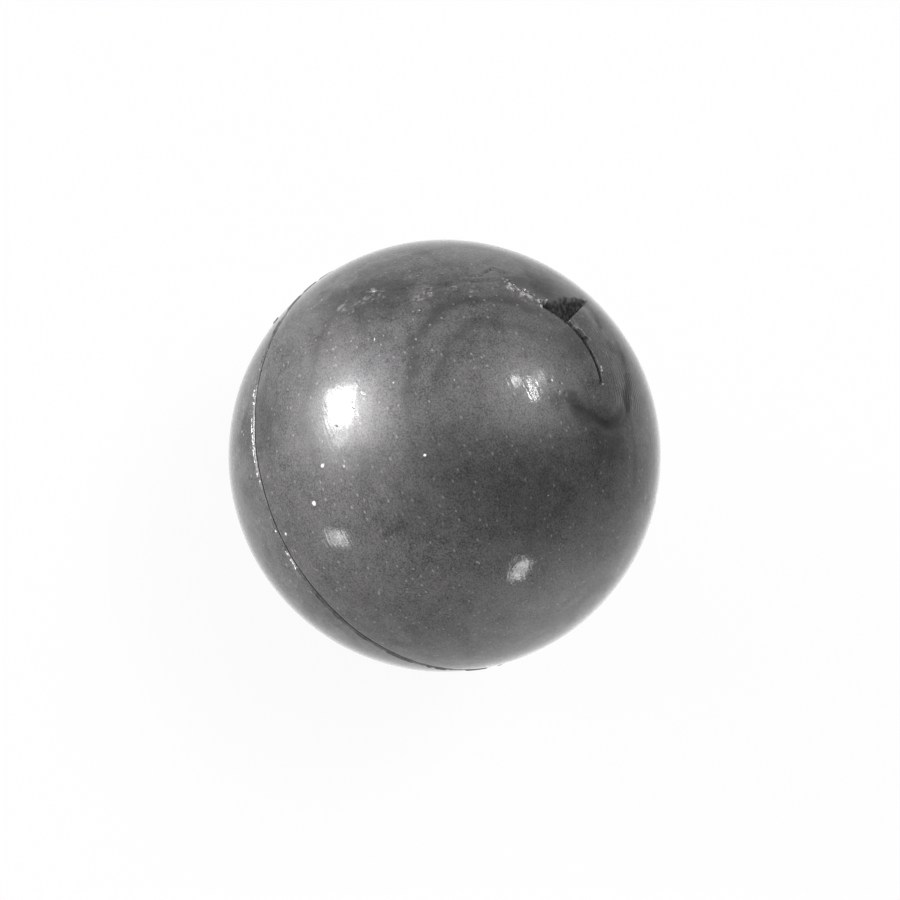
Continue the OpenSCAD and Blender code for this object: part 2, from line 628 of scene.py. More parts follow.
@dataclass(frozen=True)
class Crease:
    """A shallow wandering line: a groove with a low ridge beside it."""

    pole: Pole
    stations: tuple[float, ...]
    polars: tuple[float, ...]
    depth: float
    width: float
    ridge: float = 0.0
    waver: float = 0.25
    seed: float = 1.0
    fine: float = 0.27
    reach: float = 6.0
    ridge_place: float = 1.9
    ridge_width: float = 1.2
    patches: tuple[float, float] = (0.75, 0.5)

    def offset(self, unit: np.ndarray, radius: float) -> tuple[np.ndarray, np.ndarray]:
        """Distance across the line in millimetres, and 1 between its ends and 0 beyond them.

        Args:
            unit: Unit directions, one row each.
            radius: The ball's radius in millimetres.

        Returns:
            The two for each direction.
        """
        polar, azimuth = self.pole.angles(unit)
        path = np.interp(azimuth, self.stations, self.polars)
        s = np.radians(polar - path) * radius
        first, last = self.stations[0], self.stations[-1]
        return s, ease(first - 1, first + 2, azimuth) * (1 - ease(last - 2, last + 1, azimuth))

    def height(self, unit: np.ndarray, radius: float) -> np.ndarray:
        """Height above the plain ball at each direction, in millimetres.

        Args:
            unit: Unit directions, one row each.
            radius: The ball's radius in millimetres.

        Returns:
            A height for each direction.
        """
        s, on = self.offset(unit, radius)
        h = np.zeros(len(unit))
        near = (np.abs(s) < self.reach * self.width) & (on > 0)
        if np.any(near):
            wander = self.waver * clouds(unit[near] * radius, 2.5, self.seed, 3)
            patchy = self.patches[0] + self.patches[1] * clouds(unit[near] * radius, 3.5, self.seed + 9, 2)
            across = s[near] + wander
            groove = hump(across, self.width) * self.depth * patchy
            beside = across - self.ridge_place * self.width
            ridge = hump(beside, self.ridge_width * self.width) * self.ridge * patchy
            h[near] = on[near] * (ridge - groove)
        return h

    def spacing(self, unit: np.ndarray, radius: float) -> np.ndarray:
        """Mesh spacing that it needs at each direction, in millimetres.

        Args:
            unit: Unit directions, one row each.
            radius: The ball's radius in millimetres.

        Returns:
            A spacing for each direction.
        """
        s, on = self.offset(unit, radius)
        close_by = (np.abs(s) < 2.5 * self.width + self.waver) & (on > 0)
        return spaced((close_by, self.fine))


@dataclass(frozen=True)
class Grains:
    """Small bumps or pits, each at its own place on the skin."""

    places: tuple[Direction, ...]
    size: float
    rise: float
    pale: float = 1.0
    ragged: float = 0.5
    finest: float = 0.07
    sizes: tuple[float, float] = (0.65, 0.7)
    size_step: float = 0.618
    shade_step: float = 0.382
    reach: float = 3.5
    rings: tuple[tuple[float, float], ...] = ((0.25, 0.25), (0.6, 0.5))

    @staticmethod
    def spots(pole: Pole, angles: tuple[tuple[float, float], ...]) -> tuple[Direction, ...]:
        """Places given one by one.

        Args:
            pole: Axis that the angles are measured about.
            angles: Polar angle and azimuth of each.

        Returns:
            Unit directions.
        """
        return tuple(pole.point(p, a) for p, a in angles)

    @staticmethod
    def trail(pole: Pole, first: tuple[float, float], last: tuple[float, float], count: int,
              spread: float, seed: int) -> tuple[Direction, ...]:
        """Places scattered along a line between two points.

        Args:
            pole: Axis that the angles are measured about.
            first: Polar angle and azimuth of the line's start.
            last: Polar angle and azimuth of its end.
            count: How many places.
            spread: Scatter across the line, in degrees of polar angle.
            seed: Seed of the scatter.

        Returns:
            Unit directions.
        """
        rng = np.random.default_rng(seed)
        along = rng.uniform(0, 1, count)
        polar = first[0] + (last[0] - first[0]) * along + rng.normal(0, spread, count)
        azimuth = first[1] + (last[1] - first[1]) * along
        return tuple(pole.point(p, a) for p, a in zip(polar, azimuth))

    def cover(self, unit: np.ndarray, radius: float, shades: float = 0.0) -> np.ndarray:
        """How much each direction lies on a grain.

        Args:
            unit: Directions.
            radius: The ball's radius in millimetres.
            shades: How much the grains differ from one another, from 0 to 1.

        Returns:
            A share for each direction, from 0 to 1.
        """
        total = np.zeros(len(unit))
        for i, place in enumerate(self.places):
            scale = self.size * (self.sizes[0] + self.sizes[1] * ((i * self.size_step) % 1.0))
            away = along_skin(unit, place, radius)
            near = away < self.reach * scale
            if np.any(near):
                ragged = 1 + self.ragged * clouds(unit[near] * radius, 2.4 * self.size, 33.0 + i, 3)
                shade = 1 - shades * ((i * self.shade_step) % 1.0)
                total[near] = np.maximum(total[near], shade * hump(away[near] * ragged, scale))
        return total

    def height(self, unit: np.ndarray, radius: float) -> np.ndarray:
        """Height above the plain ball at each direction, in millimetres."""
        return self.rise * self.cover(unit, radius)

    def spacing(self, unit: np.ndarray, radius: float) -> np.ndarray:
        """Mesh spacing that it needs at each direction, in millimetres.

        Args:
            unit: Unit directions, one row each.
            radius: The ball's radius in millimetres.

        Returns:
            A spacing for each direction.
        """
        nearest = np.min([along_skin(unit, place, radius) for place in self.places], axis=0)
        on = 2.0 * self.size
        rings = ((nearest < on + beyond, spacing) for beyond, spacing in self.rings)
        return spaced((nearest < on, max(0.5 * self.size, self.finest)), *rings)


@dataclass(frozen=True)
class ShadePatch:
    """A patch of painted shade: the skin's colour darkened, with a ragged edge."""

    place: Direction
    reach: float
    strength: float
    seed: float
    ragged: float = 0.45
    fine: float = 0.3
    widest_fine: float = 5.0

    @staticmethod
    def trail(points: tuple[tuple[float, float], ...], reach: float, strength: float,
              steps: int) -> list[ShadePatch]:
        """Patches of painted shade run together along a line.

        Args:
            points: Polar angle and azimuth, about the mould axis, of the line's corners.
            reach: Half width of the line in millimetres.
            strength: How dark it is.
            steps: Smudges between two corners.

        Returns:
            The patches.
        """
        corners = [np.array(MOULD_POLE.point(p, a)) for p, a in points]
        run = []
        for first, last in zip(corners, corners[1:]):
            for i in range(steps):
                place = first + (last - first) * i / steps
                run.append(ShadePatch(tuple(place / np.linalg.norm(place)), reach, strength, 8.0))
        return run

    def share(self, unit: np.ndarray, radius: float) -> np.ndarray:
        """How much painted shade each direction takes, from 0 to the patch's strength.

        Args:
            unit: Unit directions, one row each.
            radius: The ball's radius in millimetres.

        Returns:
            A share for each direction.
        """
        away = along_skin(unit, self.place, radius)
        ragged = away * (1 + self.ragged * clouds(unit * radius, 2.2, self.seed, 4))
        return self.strength * (1 - ease(0.2 * self.reach, self.reach, ragged))

    def spacing(self, unit: np.ndarray, radius: float) -> np.ndarray:
        """Mesh spacing that it needs at each direction, in millimetres."""
        away = along_skin(unit, self.place, radius)
        return spaced((away < 1.3 * min(self.reach, self.widest_fine), self.fine))


@dataclass(frozen=True)
class Undulation:
    """The slow waviness of soft rubber that has been pressed against a hand-polished mould."""

    broad_height: float = 0.035
    broad_size: float = 14.0
    fine_height: float = 0.006
    fine_size: float = 3.2
    plain: float = 0.8

    def height(self, unit: np.ndarray, radius: float) -> np.ndarray:
        """Height above the plain ball at each direction, in millimetres.

        Args:
            unit: Unit directions, one row each.
            radius: The ball's radius in millimetres.

        Returns:
            A height for each direction.
        """
        broad = clouds(unit * radius, self.broad_size, 2.0, 2)
        fine = clouds(unit * radius, self.fine_size, 6.0, 2)
        return self.broad_height * broad + self.fine_height * fine

    def spacing(self, unit: np.ndarray, radius: float) -> np.ndarray:
        """Mesh spacing that it needs at each direction, in millimetres."""
        return np.full(len(unit), self.plain)


@dataclass(frozen=True)
class SeamEdge:
    """One side of the parting line: the groove, and on the lower half the broken flash beside it."""

    half: Half
    groove_depth: float = 0.16
    groove_width: float = 0.55
    flash_height: float = 0.13
    flash_place: float = 0.50
    flash_width: float = 0.15
    patches: tuple[float, float] = (0.7, 0.6)
    flash_pattern: Pattern = (2.6, 13.0, 3)
    rings: tuple[tuple[float, float], ...] = ((0.85, 0.14), (1.6, 0.3))

    def height(self, unit: np.ndarray, radius: float) -> np.ndarray:
        """Height above the plain ball at each direction, in millimetres.

        Args:
            unit: Unit directions, one row each.
            radius: The ball's radius in millimetres.

        Returns:
            A height for each direction.
        """
        z = self.half.value * unit[:, 2] * radius
        azimuth = np.degrees(np.arctan2(unit[:, 1], unit[:, 0]))
        waves = np.sin(np.radians(azimuth * 7 + 40)) * np.cos(np.radians(azimuth * 3))
        patchy = self.patches[0] + self.patches[1] * np.abs(waves)
        h = -self.groove_depth * patchy * (1 - ease(0.0, self.groove_width, z))
        if self.half is Half.LOWER:
            h = h + self.flash_height * hump(z - self.flash_place, self.flash_width) * self.flash(azimuth)
        return h

    def flash(self, azimuth: np.ndarray) -> np.ndarray:
        """Where the flash still stands round the seam, from 0 where it has broken off to 1.

        Args:
            azimuth: Degrees round the mould axis.

        Returns:
            A share for each.
        """
        ring = np.stack([np.cos(np.radians(azimuth)), np.sin(np.radians(azimuth)), 0 * azimuth], axis=1)
        return ease(0.0, 0.16, clouds(ring * BALL_RADIUS, *self.flash_pattern))

    def spacing(self, unit: np.ndarray, radius: float) -> np.ndarray:
        """Mesh spacing that it needs at each direction, in millimetres.

        Args:
            unit: Unit directions, one row each.
            radius: The ball's radius in millimetres.

        Returns:
            A spacing for each direction.
        """
        z = np.abs(unit[:, 2]) * radius
        return spaced(*((z < reach, spacing) for reach, spacing in self.rings))


# ---- finishes ------------------------------------------------------------


class NodeDesk:
    """Builds a node tree, a node at a time."""

    def __init__(self, tree: bpy.types.NodeTree, place: str) -> None:
        """Starts with the coordinates that everything in the tree hangs on.

        Args:
            tree: The node tree.
            place: Name of the coordinates, such as Object.
        """
        self.tree = tree
        self.place = tree.nodes.new("ShaderNodeTexCoord").outputs[place]

    def node(self, kind: str, settings: dict[str, object] | None = None,
             inputs: dict[str | int, object] | None = None) -> bpy.types.Node:
        """Adds a node.

        Args:
            kind: Blender's name for the node's type.
            settings: The node's own settings.
            inputs: Values or links for its input sockets.

        Returns:
            The new node.
        """
        made = self.tree.nodes.new(kind)
        for key, value in (settings or {}).items():
            setattr(made, key, value)
        for key, value in (inputs or {}).items():
            if isinstance(value, bpy.types.NodeSocket):
                self.tree.links.new(value, made.inputs[key])
            else:
                made.inputs[key].default_value = value
        return made

    def noise(self, size: float, detail: float = 4.0, roughness: float = 0.55,
              distortion: float = 0.0) -> bpy.types.NodeSocket:
        """Noise over the tree's coordinates.

        Args:
            size: Size of its largest features in millimetres.
            detail: Finer layers.
            roughness: How strong the finer layers are.
            distortion: How far it is swirled.

        Returns:
            The noise value's socket.
        """
        return self.node("ShaderNodeTexNoise", None, {
            "Vector": self.place, "Scale": 1.0 / (size * MM), "Detail": detail,
            "Roughness": roughness, "Distortion": distortion,
        }).outputs[0]

    def ranged(self, value: bpy.types.NodeSocket, low: float, high: float,
               to_low: float, to_high: float) -> bpy.types.NodeSocket:
        """Maps one range to another, smoothly and held at the ends.

        Args:
            value: What is mapped.
            low: Start of its range.
            high: End of its range.
            to_low: Result at the start.
            to_high: Result at the end.

        Returns:
            The result's socket.
        """
        return self.node("ShaderNodeMapRange", {"interpolation_type": "SMOOTHSTEP"}, {
            "Value": value, "From Min": low, "From Max": high, "To Min": to_low, "To Max": to_high,
        }).outputs["Result"]

    def sums(self, kind: str, first: object, second: object) -> bpy.types.NodeSocket:
        """Arithmetic on two values.

        Args:
            kind: Name of the operation, such as MULTIPLY.
            first: A socket or a number.
            second: A socket or a number.

        Returns:
            The result's socket.
        """
        return self.node("ShaderNodeMath", {"operation": kind}, {0: first, 1: second}).outputs[0]

    def blend(self, share: object, first: object, second: object) -> bpy.types.NodeSocket:
        """Mixes two colours.

        Args:
            share: Socket or number, 0 for the first colour and 1 for the second.
            first: Socket or colour.
            second: Socket or colour.

        Returns:
            The colour's socket.
        """
        return self.node("ShaderNodeMix", {"data_type": "RGBA"}, {0: share, 6: first, 7: second}).outputs[2]

    def bump(self, height: bpy.types.NodeSocket, strength: float, depth: float,
             over: bpy.types.NodeSocket | None = None) -> bpy.types.NodeSocket:
        """Bumps the surface.

        Args:
            height: Socket of the height.
            strength: Share of the bump that is used.
            depth: Depth of the relief in millimetres.
            over: Another bump that this one is laid over.

        Returns:
            The normal's socket.
        """
        inputs: dict[str | int, object] = {"Height": height, "Strength": strength, "Distance": depth * MM}
        if over is not None:
            inputs["Normal"] = over
        return self.node("ShaderNodeBump", None, inputs).outputs["Normal"]


class FinishDesk(NodeDesk):
    """Builds one material on a Principled shader."""

    def __init__(self, name: str) -> None:
        """Starts the material, with Object coordinates.

        Args:
            name: Name of the material.
        """
        self.material = bpy.data.materials.new(name)
        self.material.use_nodes = True
        super().__init__(self.material.node_tree, "Object")
        self.shader = self.tree.nodes["Principled BSDF"]

    def link(self, socket: bpy.types.NodeSocket, name: str) -> None:
        """Links a socket to one of the shader's inputs."""
        self.tree.links.new(socket, self.shader.inputs[name])

    def set(self, numbers: dict[str, float]) -> None:
        """Sets the shader's own numbers, by the names of its inputs."""
        for name, value in numbers.items():
            self.shader.inputs[name].default_value = value


def grey(level: float, warmth: float = 0.0) -> tuple[float, float, float, float]:
    """A near-neutral colour.

    Args:
        level: Linear brightness.
        warmth: Above 0 leans to brown, below 0 to blue.

    Returns:
        Red, green, blue and alpha.
    """
    return (level * (1 + warmth), level * LESS_GREEN, level * (1 - warmth), 1.0)


@dataclass(frozen=True)
class CoverRubber:
    """Tacky dark grey rubber with a soft moulded sheen, mottled and dusty, with painted reflection rings,
    painted glints and painted shade in its colour.

    A band is a range of a pattern's values, and the range of strengths that it turns into.
    """

    light: float = 0.040
    dark: float = 0.012
    warmth: float = 0.01
    speck_tone: float = 0.13
    dust_and_glint_tone: float = 0.62
    torn_tones: tuple[float, float] = (0.013, 0.0624)
    smudge_noise: tuple[float, ...] = (6.5, 5.0, 0.62, 0.8)
    mottle_noise: tuple[float, ...] = (1.7, 5.0, 0.68)
    grain_noise: tuple[float, ...] = (0.24, 4.0, 0.85)
    crumb_noise: tuple[float, ...] = (0.7, 4.0, 0.7)
    coat_noise: tuple[float, ...] = (0.8, 4.0, 0.65)
    reflected_ring_noise: tuple[float, ...] = (8.0, 3.0)
    grain_bump: tuple[float, float] = (0.30, 0.06)
    mottle_bump: tuple[float, float] = (0.30, 0.12)
    coat_grain_bump: tuple[float, float] = (0.07, 0.03)
    coat_bump: tuple[float, float] = (0.17, 0.05)
    streak_bump: tuple[float, float] = (0.36, 0.05)
    mottle_lift: float = 1.5
    grain_lift: float = 2.0
    grain_shade: float = 0.25
    reflected_ring_tone: float = 0.4
    shade_patch_tone: float = 0.2
    smudge_tone: Band = (0.3, 0.7, 0.0, 1.0)
    mottle_tone: Band = (0.35, 0.65, 0.0, 0.55)
    pale_grain: Band = (0.40, 0.66, 0.0, 0.75)
    dark_grain: Band = (0.34, 0.52, 0.75, 0.0)
    crumb_tone: Band = (0.42, 0.62, 0.0, 1.0)
    roughness: Band = (0.3, 0.7, 0.42, 0.54)
    grain_sheen: Band = (0.38, 0.60, 0.56, 1.0)
    smudge_sheen: Band = (0.35, 0.65, 0.68, 1.0)
    mottle_sheen: Band = (0.35, 0.65, 0.74, 1.0)
    shade_patch_sheen: Band = (0.0, 1.0, 1.0, 0.25)
    torn_sheen: Band = (0.0, 1.0, 1.0, 0.1)
    rim: Band = (0.5, 0.9, 0.0, 1.0)
    rim_sheen: Band = (0.38, 0.60, 0.60, 1.0)
    coat_rough: float = 0.085
    base_shine: float = 0.35
    reflected_ring_centre: Direction = (-5.9, -9.9, 30.4)
    reflected_ring_radii: tuple[tuple[float, float], ...] = ((9.0, 0.40), (13.0, 0.60), (27.0, 0.4))
    reflected_ring_width: float = 1.3
    reflected_ring_wander: float = 1.8
    reflected_ring_side: Direction = (-0.92, -0.2, 0.1)
    reflected_ring_fade: tuple[float, float] = (-1.0, 6.0)
    streak_stretch: float = 0.12
    streak_size: float = 0.5
    speck_stretch: float = 0.6
    speck_pitch: float = 0.72
    speck_edge: tuple[float, float] = (0.15, 0.25)
    speck_rarity: float = 0.30
    speck_strength: float = 0.8

    def material(self) -> bpy.types.Material:
        """Makes the material.

        Returns:
            The finished material.
        """
        desk = FinishDesk("cover_rubber_finish")
        blotch, mottle, grain = (desk.noise(*kind) for kind in (self.smudge_noise, self.mottle_noise,
                                                                self.grain_noise))
        # The crack and notch mark paints their colour darker as shade; the patch mark is painted shade.
        torn, shade_patch_share = self.mark(desk, "torn"), self.mark(desk, "shade_patched")
        desk.link(self.tone(desk, blotch, mottle, grain, shade_patch_share, torn), "Base Color")
        rough = desk.ranged(mottle, *self.roughness)
        desk.link(desk.sums("MAXIMUM", rough, torn), "Roughness")
        base = desk.bump(grain, *self.grain_bump)
        desk.link(desk.bump(mottle, *self.mottle_bump, base), "Normal")
        coat = desk.bump(grain, *self.coat_grain_bump)
        coat = desk.bump(desk.noise(*self.coat_noise), *self.coat_bump, coat)
        desk.link(desk.bump(self.streaks(desk), *self.streak_bump, coat), "Coat Normal")
        clean = desk.ranged(grain, *self.grain_sheen)
        # Painted shade: the coat is dimmed under the shade patches.
        for value, band in ((blotch, self.smudge_sheen), (mottle, self.mottle_sheen),
                            (shade_patch_share, self.shade_patch_sheen)):
            clean = desk.sums("MULTIPLY", clean, desk.ranged(value, *band))
        edge_on = desk.node("ShaderNodeLayerWeight", None, {"Blend": 0.5}).outputs["Facing"]
        at_rim = desk.sums("MULTIPLY", desk.ranged(edge_on, *self.rim), desk.ranged(grain, *self.rim_sheen))
        clean = desk.sums("MAXIMUM", clean, at_rim)
        # Painted shade: the coat is dimmed in the crack and notch.
        desk.link(desk.sums("MULTIPLY", clean, desk.ranged(torn, *self.torn_sheen)), "Coat Weight")
        desk.set({"Coat Roughness": self.coat_rough, "Specular IOR Level": self.base_shine})
        return desk.material

    def tone(self, desk: NodeDesk, blotch: bpy.types.NodeSocket, mottle: bpy.types.NodeSocket,
             grain: bpy.types.NodeSocket, shade_patch_share: bpy.types.NodeSocket,
             torn: bpy.types.NodeSocket) -> bpy.types.NodeSocket:
        """Lays the greys of the rubber over one another.

        Args:
            desk: The material's desk.
            blotch: Socket of the broadest pattern.
            mottle: Socket of the middle pattern.
            grain: Socket of the finest pattern.
            shade_patch_share: Socket of the share of the painted shade patches.
            torn: Socket of the share of ripped rubber in the crack and notch, whose colour is painted darker
                as shade.

        Returns:
            Socket of the colour.
        """
        tone = desk.blend(desk.ranged(blotch, *self.smudge_tone), grey(self.dark, self.warmth),
                          grey(self.light, self.warmth))
        for share, level, warmth in (
            (desk.ranged(mottle, *self.mottle_tone), self.light * self.mottle_lift, 0.0),
            (desk.ranged(grain, *self.pale_grain), self.light * self.grain_lift, 0.0),
            (desk.ranged(grain, *self.dark_grain), self.dark * self.grain_shade, 0.0),
            # Painted reflection: dark part-rings of a lamp's rim.
            (self.reflected_rings(desk), self.dark * self.reflected_ring_tone, 0.0),
            (self.specks(desk), self.speck_tone, self.warmth),
            # Painted shade: the patches darken the skin's colour.
            (shade_patch_share, self.dark * self.shade_patch_tone, 0.0),
            # Pale mark: real specks, and the painted glints in the crack and on the seam flash.
            (self.mark(desk, "dusting"), self.dust_and_glint_tone, self.warmth),
        ):
            tone = desk.blend(share, tone, grey(level, warmth))
        # Painted shade: the crack and notch take a near-black crumbly colour that stands in for shade in the
        # hollows.
        crumbly_shade = desk.blend(desk.ranged(desk.noise(*self.crumb_noise), *self.crumb_tone),
                              *(grey(level) for level in self.torn_tones))
        return desk.blend(torn, tone, crumbly_shade)

    @staticmethod
    def mark(desk: NodeDesk, name: str) -> bpy.types.NodeSocket:
        """A share that the piece carries at each vertex.

        Args:
            desk: The material's desk.
            name: Name of the attribute.

        Returns:
            Socket of the share.
        """
        return desk.node("ShaderNodeAttribute", {"attribute_name": name}).outputs["Fac"]

    def reflected_rings(self, desk: NodeDesk) -> bpy.types.NodeSocket:
        """Painted reflection: faint dark part-rings round the upper highlight, standing in for the mirrored
        rim of a round lamp shade.

        Args:
            desk: The material's desk.

        Returns:
            Socket of the rings' strength.
        """
        centre = Vector(self.reflected_ring_centre) * MM
        away = desk.node("ShaderNodeVectorMath", {"operation": "DISTANCE"}, {
            0: desk.place, 1: tuple(centre),
        }).outputs["Value"]
        far = self.reflected_ring_wander * MM
        wander = desk.ranged(desk.noise(*self.reflected_ring_noise), 0.0, 1.0, -far, far)
        reach = desk.sums("ADD", away, wander)
        rings: bpy.types.NodeSocket | None = None
        for ring_radius, strength in self.reflected_ring_radii:
            offset = desk.sums("ABSOLUTE", desk.sums("SUBTRACT", reach, ring_radius * MM), 0.0)
            ring = desk.ranged(offset, 0.0, self.reflected_ring_width * MM, strength, 0.0)
            rings = ring if rings is None else desk.sums("MAXIMUM", rings, ring)
        side = desk.node("ShaderNodeVectorMath", {"operation": "DOT_PRODUCT"}, {
            0: desk.node("ShaderNodeVectorMath", {"operation": "SUBTRACT"}, {
                0: desk.place, 1: tuple(centre)}).outputs["Vector"],
            1: self.reflected_ring_side,
        }).outputs["Value"]
        first, last = (edge * MM for edge in self.reflected_ring_fade)
        return desk.sums("MULTIPLY", rings, desk.ranged(side, first, last, 0.0, 1.0))

    def streaks(self, desk: NodeDesk) -> bpy.types.NodeSocket:
        """Fine lines that the mould's hand polishing printed on the skin.

        Args:
            desk: The material's desk.

        Returns:
            Socket of the lines' height.
        """
        drawn = desk.node("ShaderNodeMapping", None, {
            "Vector": desk.place, "Scale": (self.streak_stretch, 1.0, 1.0)})
        return desk.node("ShaderNodeTexNoise", None, {
            "Vector": drawn.outputs[0], "Scale": 1 / (self.streak_size * MM), "Detail": 2.0,
        }).outputs[0]

    def specks(self, desk: NodeDesk) -> bpy.types.NodeSocket:
        """Tiny pale specks scattered over the skin.

        Args:
            desk: The material's desk.

        Returns:
            Socket of the specks' strength.
        """
        cells = desk.node("ShaderNodeTexVoronoi", None, {
            "Vector": desk.node("ShaderNodeMapping", None, {
                "Vector": desk.place, "Scale": (self.speck_stretch, 1.0, 1.0)}).outputs[0],
            "Scale": 1 / (self.speck_pitch * MM), "Randomness": 1.0,
        })
        spot = desk.ranged(cells.outputs["Distance"], *self.speck_edge, 1.0, 0.0)
        pick = desk.node("ShaderNodeSeparateColor", None, {0: cells.outputs["Color"]}).outputs[0]
        kept = desk.ranged(pick, self.speck_rarity, 1.0, 0.0, self.speck_strength)
        return desk.sums("MULTIPLY", spot, kept)


@dataclass(frozen=True)
class PlainRubber:
    """A rubber finish for the pieces inside the ball."""

    name: str
    light: tuple[float, float, float]
    dark: tuple[float, float, float]
    mottle_size: float
    grain_size: float
    rough: float
    coat: float = 0.0
    powder: float = 0.0
    glow_depth: float = 0.0
    coat_rough: float = 0.25
    glow: float = 0.35
    powder_size: float = 2.3
    powder_edge: tuple[float, float] = (0.5, 0.75)
    powder_tone: tuple[float, float] = (0.6, 0.01)
    mottle_edge: tuple[float, float] = (0.3, 0.7)
    rough_spread: tuple[float, float] = (0.88, 1.12)
    grain_bump: tuple[float, float] = (0.3, 0.06)
    mottle_bump: tuple[float, float] = (0.25, 0.15)

    def material(self) -> bpy.types.Material:
        """Makes the material.

        Returns:
            The finished material.
        """
        desk = FinishDesk(self.name)
        mottle = desk.noise(self.mottle_size, 5.0, 0.6, 0.4)
        grain = desk.noise(self.grain_size, 3.0, 0.6)
        share = desk.ranged(mottle, *self.mottle_edge, 0.0, 1.0)
        tone = desk.blend(share, (*self.dark, 1.0), (*self.light, 1.0))
        if self.powder > 0:
            drifts = desk.noise(self.mottle_size * self.powder_size, 6.0, 0.7, 1.0)
            talc = desk.ranged(drifts, *self.powder_edge, 0.0, self.powder)
            tone = desk.blend(talc, tone, grey(*self.powder_tone))
        desk.link(tone, "Base Color")
        least, most = (self.rough * times for times in self.rough_spread)
        desk.link(desk.ranged(mottle, *self.mottle_edge, least, most), "Roughness")
        desk.link(desk.bump(grain, *self.grain_bump, desk.bump(mottle, *self.mottle_bump)), "Normal")
        desk.set({"Coat Weight": self.coat, "Coat Roughness": self.coat_rough})
        if self.glow_depth > 0:
            desk.set({"Subsurface Weight": self.glow, "Subsurface Scale": self.glow_depth * MM})
        return desk.material


# ---- the cover -----------------------------------------------------------


@dataclass
class CoverHalf:
    """One moulded half of the cover: outer skin with its relief, rim, and the plain wall inside."""

    half: Half
    part: str = "cover"
    slot: str = "cover_rubber"
    radius: float = BALL_RADIUS
    wall: float = 3.0
    least_wall: float = 0.7
    free_share: float = 0.55
    cement: float = 0.2
    crisp: float = 50.0
    slack: float = 1.3
    dust_shades: float = 0.6
    dust_edge: tuple[float, float] = (0.2, 0.9)
    torn_edge: tuple[float, float] = (0.25, 0.7)
    outer_cuts: int = 47
    inner_cuts: int = 23
    passes: int = 4
    reliefs: list[Relief] = field(default_factory=list)
    dust_and_glints: list[Grains] = field(default_factory=list)
    torn: list[Relief] = field(default_factory=list)
    shade_patches: list[ShadePatch] = field(default_factory=list)

    def build(self) -> bpy.types.Object:
        """Builds the half as one closed mesh.

        Returns:
            The new piece.
        """
        name = f"{self.node()}_moulding"
        skin = self.open_bowl(name, self.radius, self.outer_cuts)
        self.refine(skin)
        self.sculpt(skin)
        lining = self.open_bowl(name + "_lining", self.radius - self.wall, self.inner_cuts)
        self.close(skin, lining)
        take(skin)
        bpy.ops.object.shade_smooth_by_angle(angle=math.radians(self.crisp))
        return skin

    def node(self) -> str:
        """Name of the frame's node that the half stands for."""
        return f"{self.half.name.lower()}_{self.part}"

    def open_bowl(self, name: str, radius: float, cuts: int) -> bpy.types.Object:
        """Half of a sphere of even, four-sided faces, open at the parting plane.

        Args:
            name: Name of the object.
            radius: Its radius in millimetres.
            cuts: Cuts along each edge of the block that it starts as.

        Returns:
            The open bowl.
        """
        leave_edit_mode()
        bpy.ops.object.select_all(action="DESELECT")
        bpy.ops.mesh.primitive_cube_add(size=2 * radius * MM, location=(0, 0, 0))
        bowl = bpy.context.object
        bowl.name = bowl.data.name = name
        bpy.ops.object.mode_set(mode="EDIT")
        bpy.ops.mesh.select_all(action="SELECT")
        bpy.ops.mesh.subdivide(number_cuts=cuts)
        leave_edit_mode()
        block = np.tan(positions(bowl) / radius * math.pi / 4)
        set_positions(bowl, block / np.linalg.norm(block, axis=1, keepdims=True) * radius)
        side = self.half.value
        edit_faces(bowl, lambda centres, _: centres[:, 2] * side < 0)
        bpy.ops.mesh.delete(type="FACE")
        leave_edit_mode()
        places = positions(bowl)
        rim = np.abs(places[:, 2]) < 0.01
        places[rim, 2] = side * self.cement / 2
        set_positions(bowl, places)
        return bowl

    def refine(self, bowl: bpy.types.Object) -> None:
        """Subdivides the faces where the relief needs it, and rounds the new vertices onto the sphere.

        Args:
            bowl: The open bowl.
        """
        def too_long(centres: np.ndarray, longest: np.ndarray) -> np.ndarray:
            """Says which faces are coarser than the relief asks.

            Args:
                centres: The faces' centres in millimetres.
                longest: The longest edge of each in millimetres.

            Returns:
                True for each face that is too coarse.
            """
            unit = centres / np.linalg.norm(centres, axis=1, keepdims=True)
            shapes = (*self.reliefs, *self.dust_and_glints, *self.shade_patches)
            return longest > self.slack * np.min([r.spacing(unit, self.radius) for r in shapes], axis=0)

        for _ in range(self.passes):
            count = edit_faces(bowl, too_long)
            if count:
                bpy.ops.mesh.subdivide(number_cuts=1, ngon=False, quadcorner="INNERVERT")
            leave_edit_mode()
            places = positions(bowl)
            places *= self.radius / np.linalg.norm(places, axis=1, keepdims=True)
            set_positions(bowl, places)

    def sculpt(self, bowl: bpy.types.Object) -> None:
        """Raises and lowers the skin by its relief, and marks the dusty grains and painted glints, the crack
        and notch that take painted shade, and the patches of painted shade.

        Args:
            bowl: The refined bowl.
        """
        places = positions(bowl)
        unit = places / np.linalg.norm(places, axis=1, keepdims=True)
        height = np.sum([r.height(unit, self.radius) for r in self.reliefs], axis=0)
        cover = np.zeros(len(unit))
        # These grains hold real specks and painted glints alike.
        for grains in self.dust_and_glints:
            height = height + grains.height(unit, self.radius)
            lying = grains.cover(unit, self.radius, self.dust_shades)
            cover = np.maximum(cover, grains.pale * ease(*self.dust_edge, lying))
        set_positions(bowl, unit * (self.radius + self.held(height))[:, None])
        # The crack and notch hollows are marked so that their colour takes painted shade.
        hollow = np.zeros(len(unit))
        for relief in self.torn:
            hollow = np.maximum(hollow, ease(*self.torn_edge, -relief.height(unit, self.radius)))
        # Painted shade: the patches' darkening is carried in its own mark.
        shaded = np.zeros(len(unit))
        for blotch in self.shade_patches:
            shaded = np.maximum(shaded, blotch.share(unit, self.radius))
        for name, values in (("dusting", cover), ("torn", hollow), ("shade_patched", shaded)):
            mark = bowl.data.attributes.new(name, "FLOAT", "POINT")
            mark.data.foreach_set("value", values.astype(np.float32))

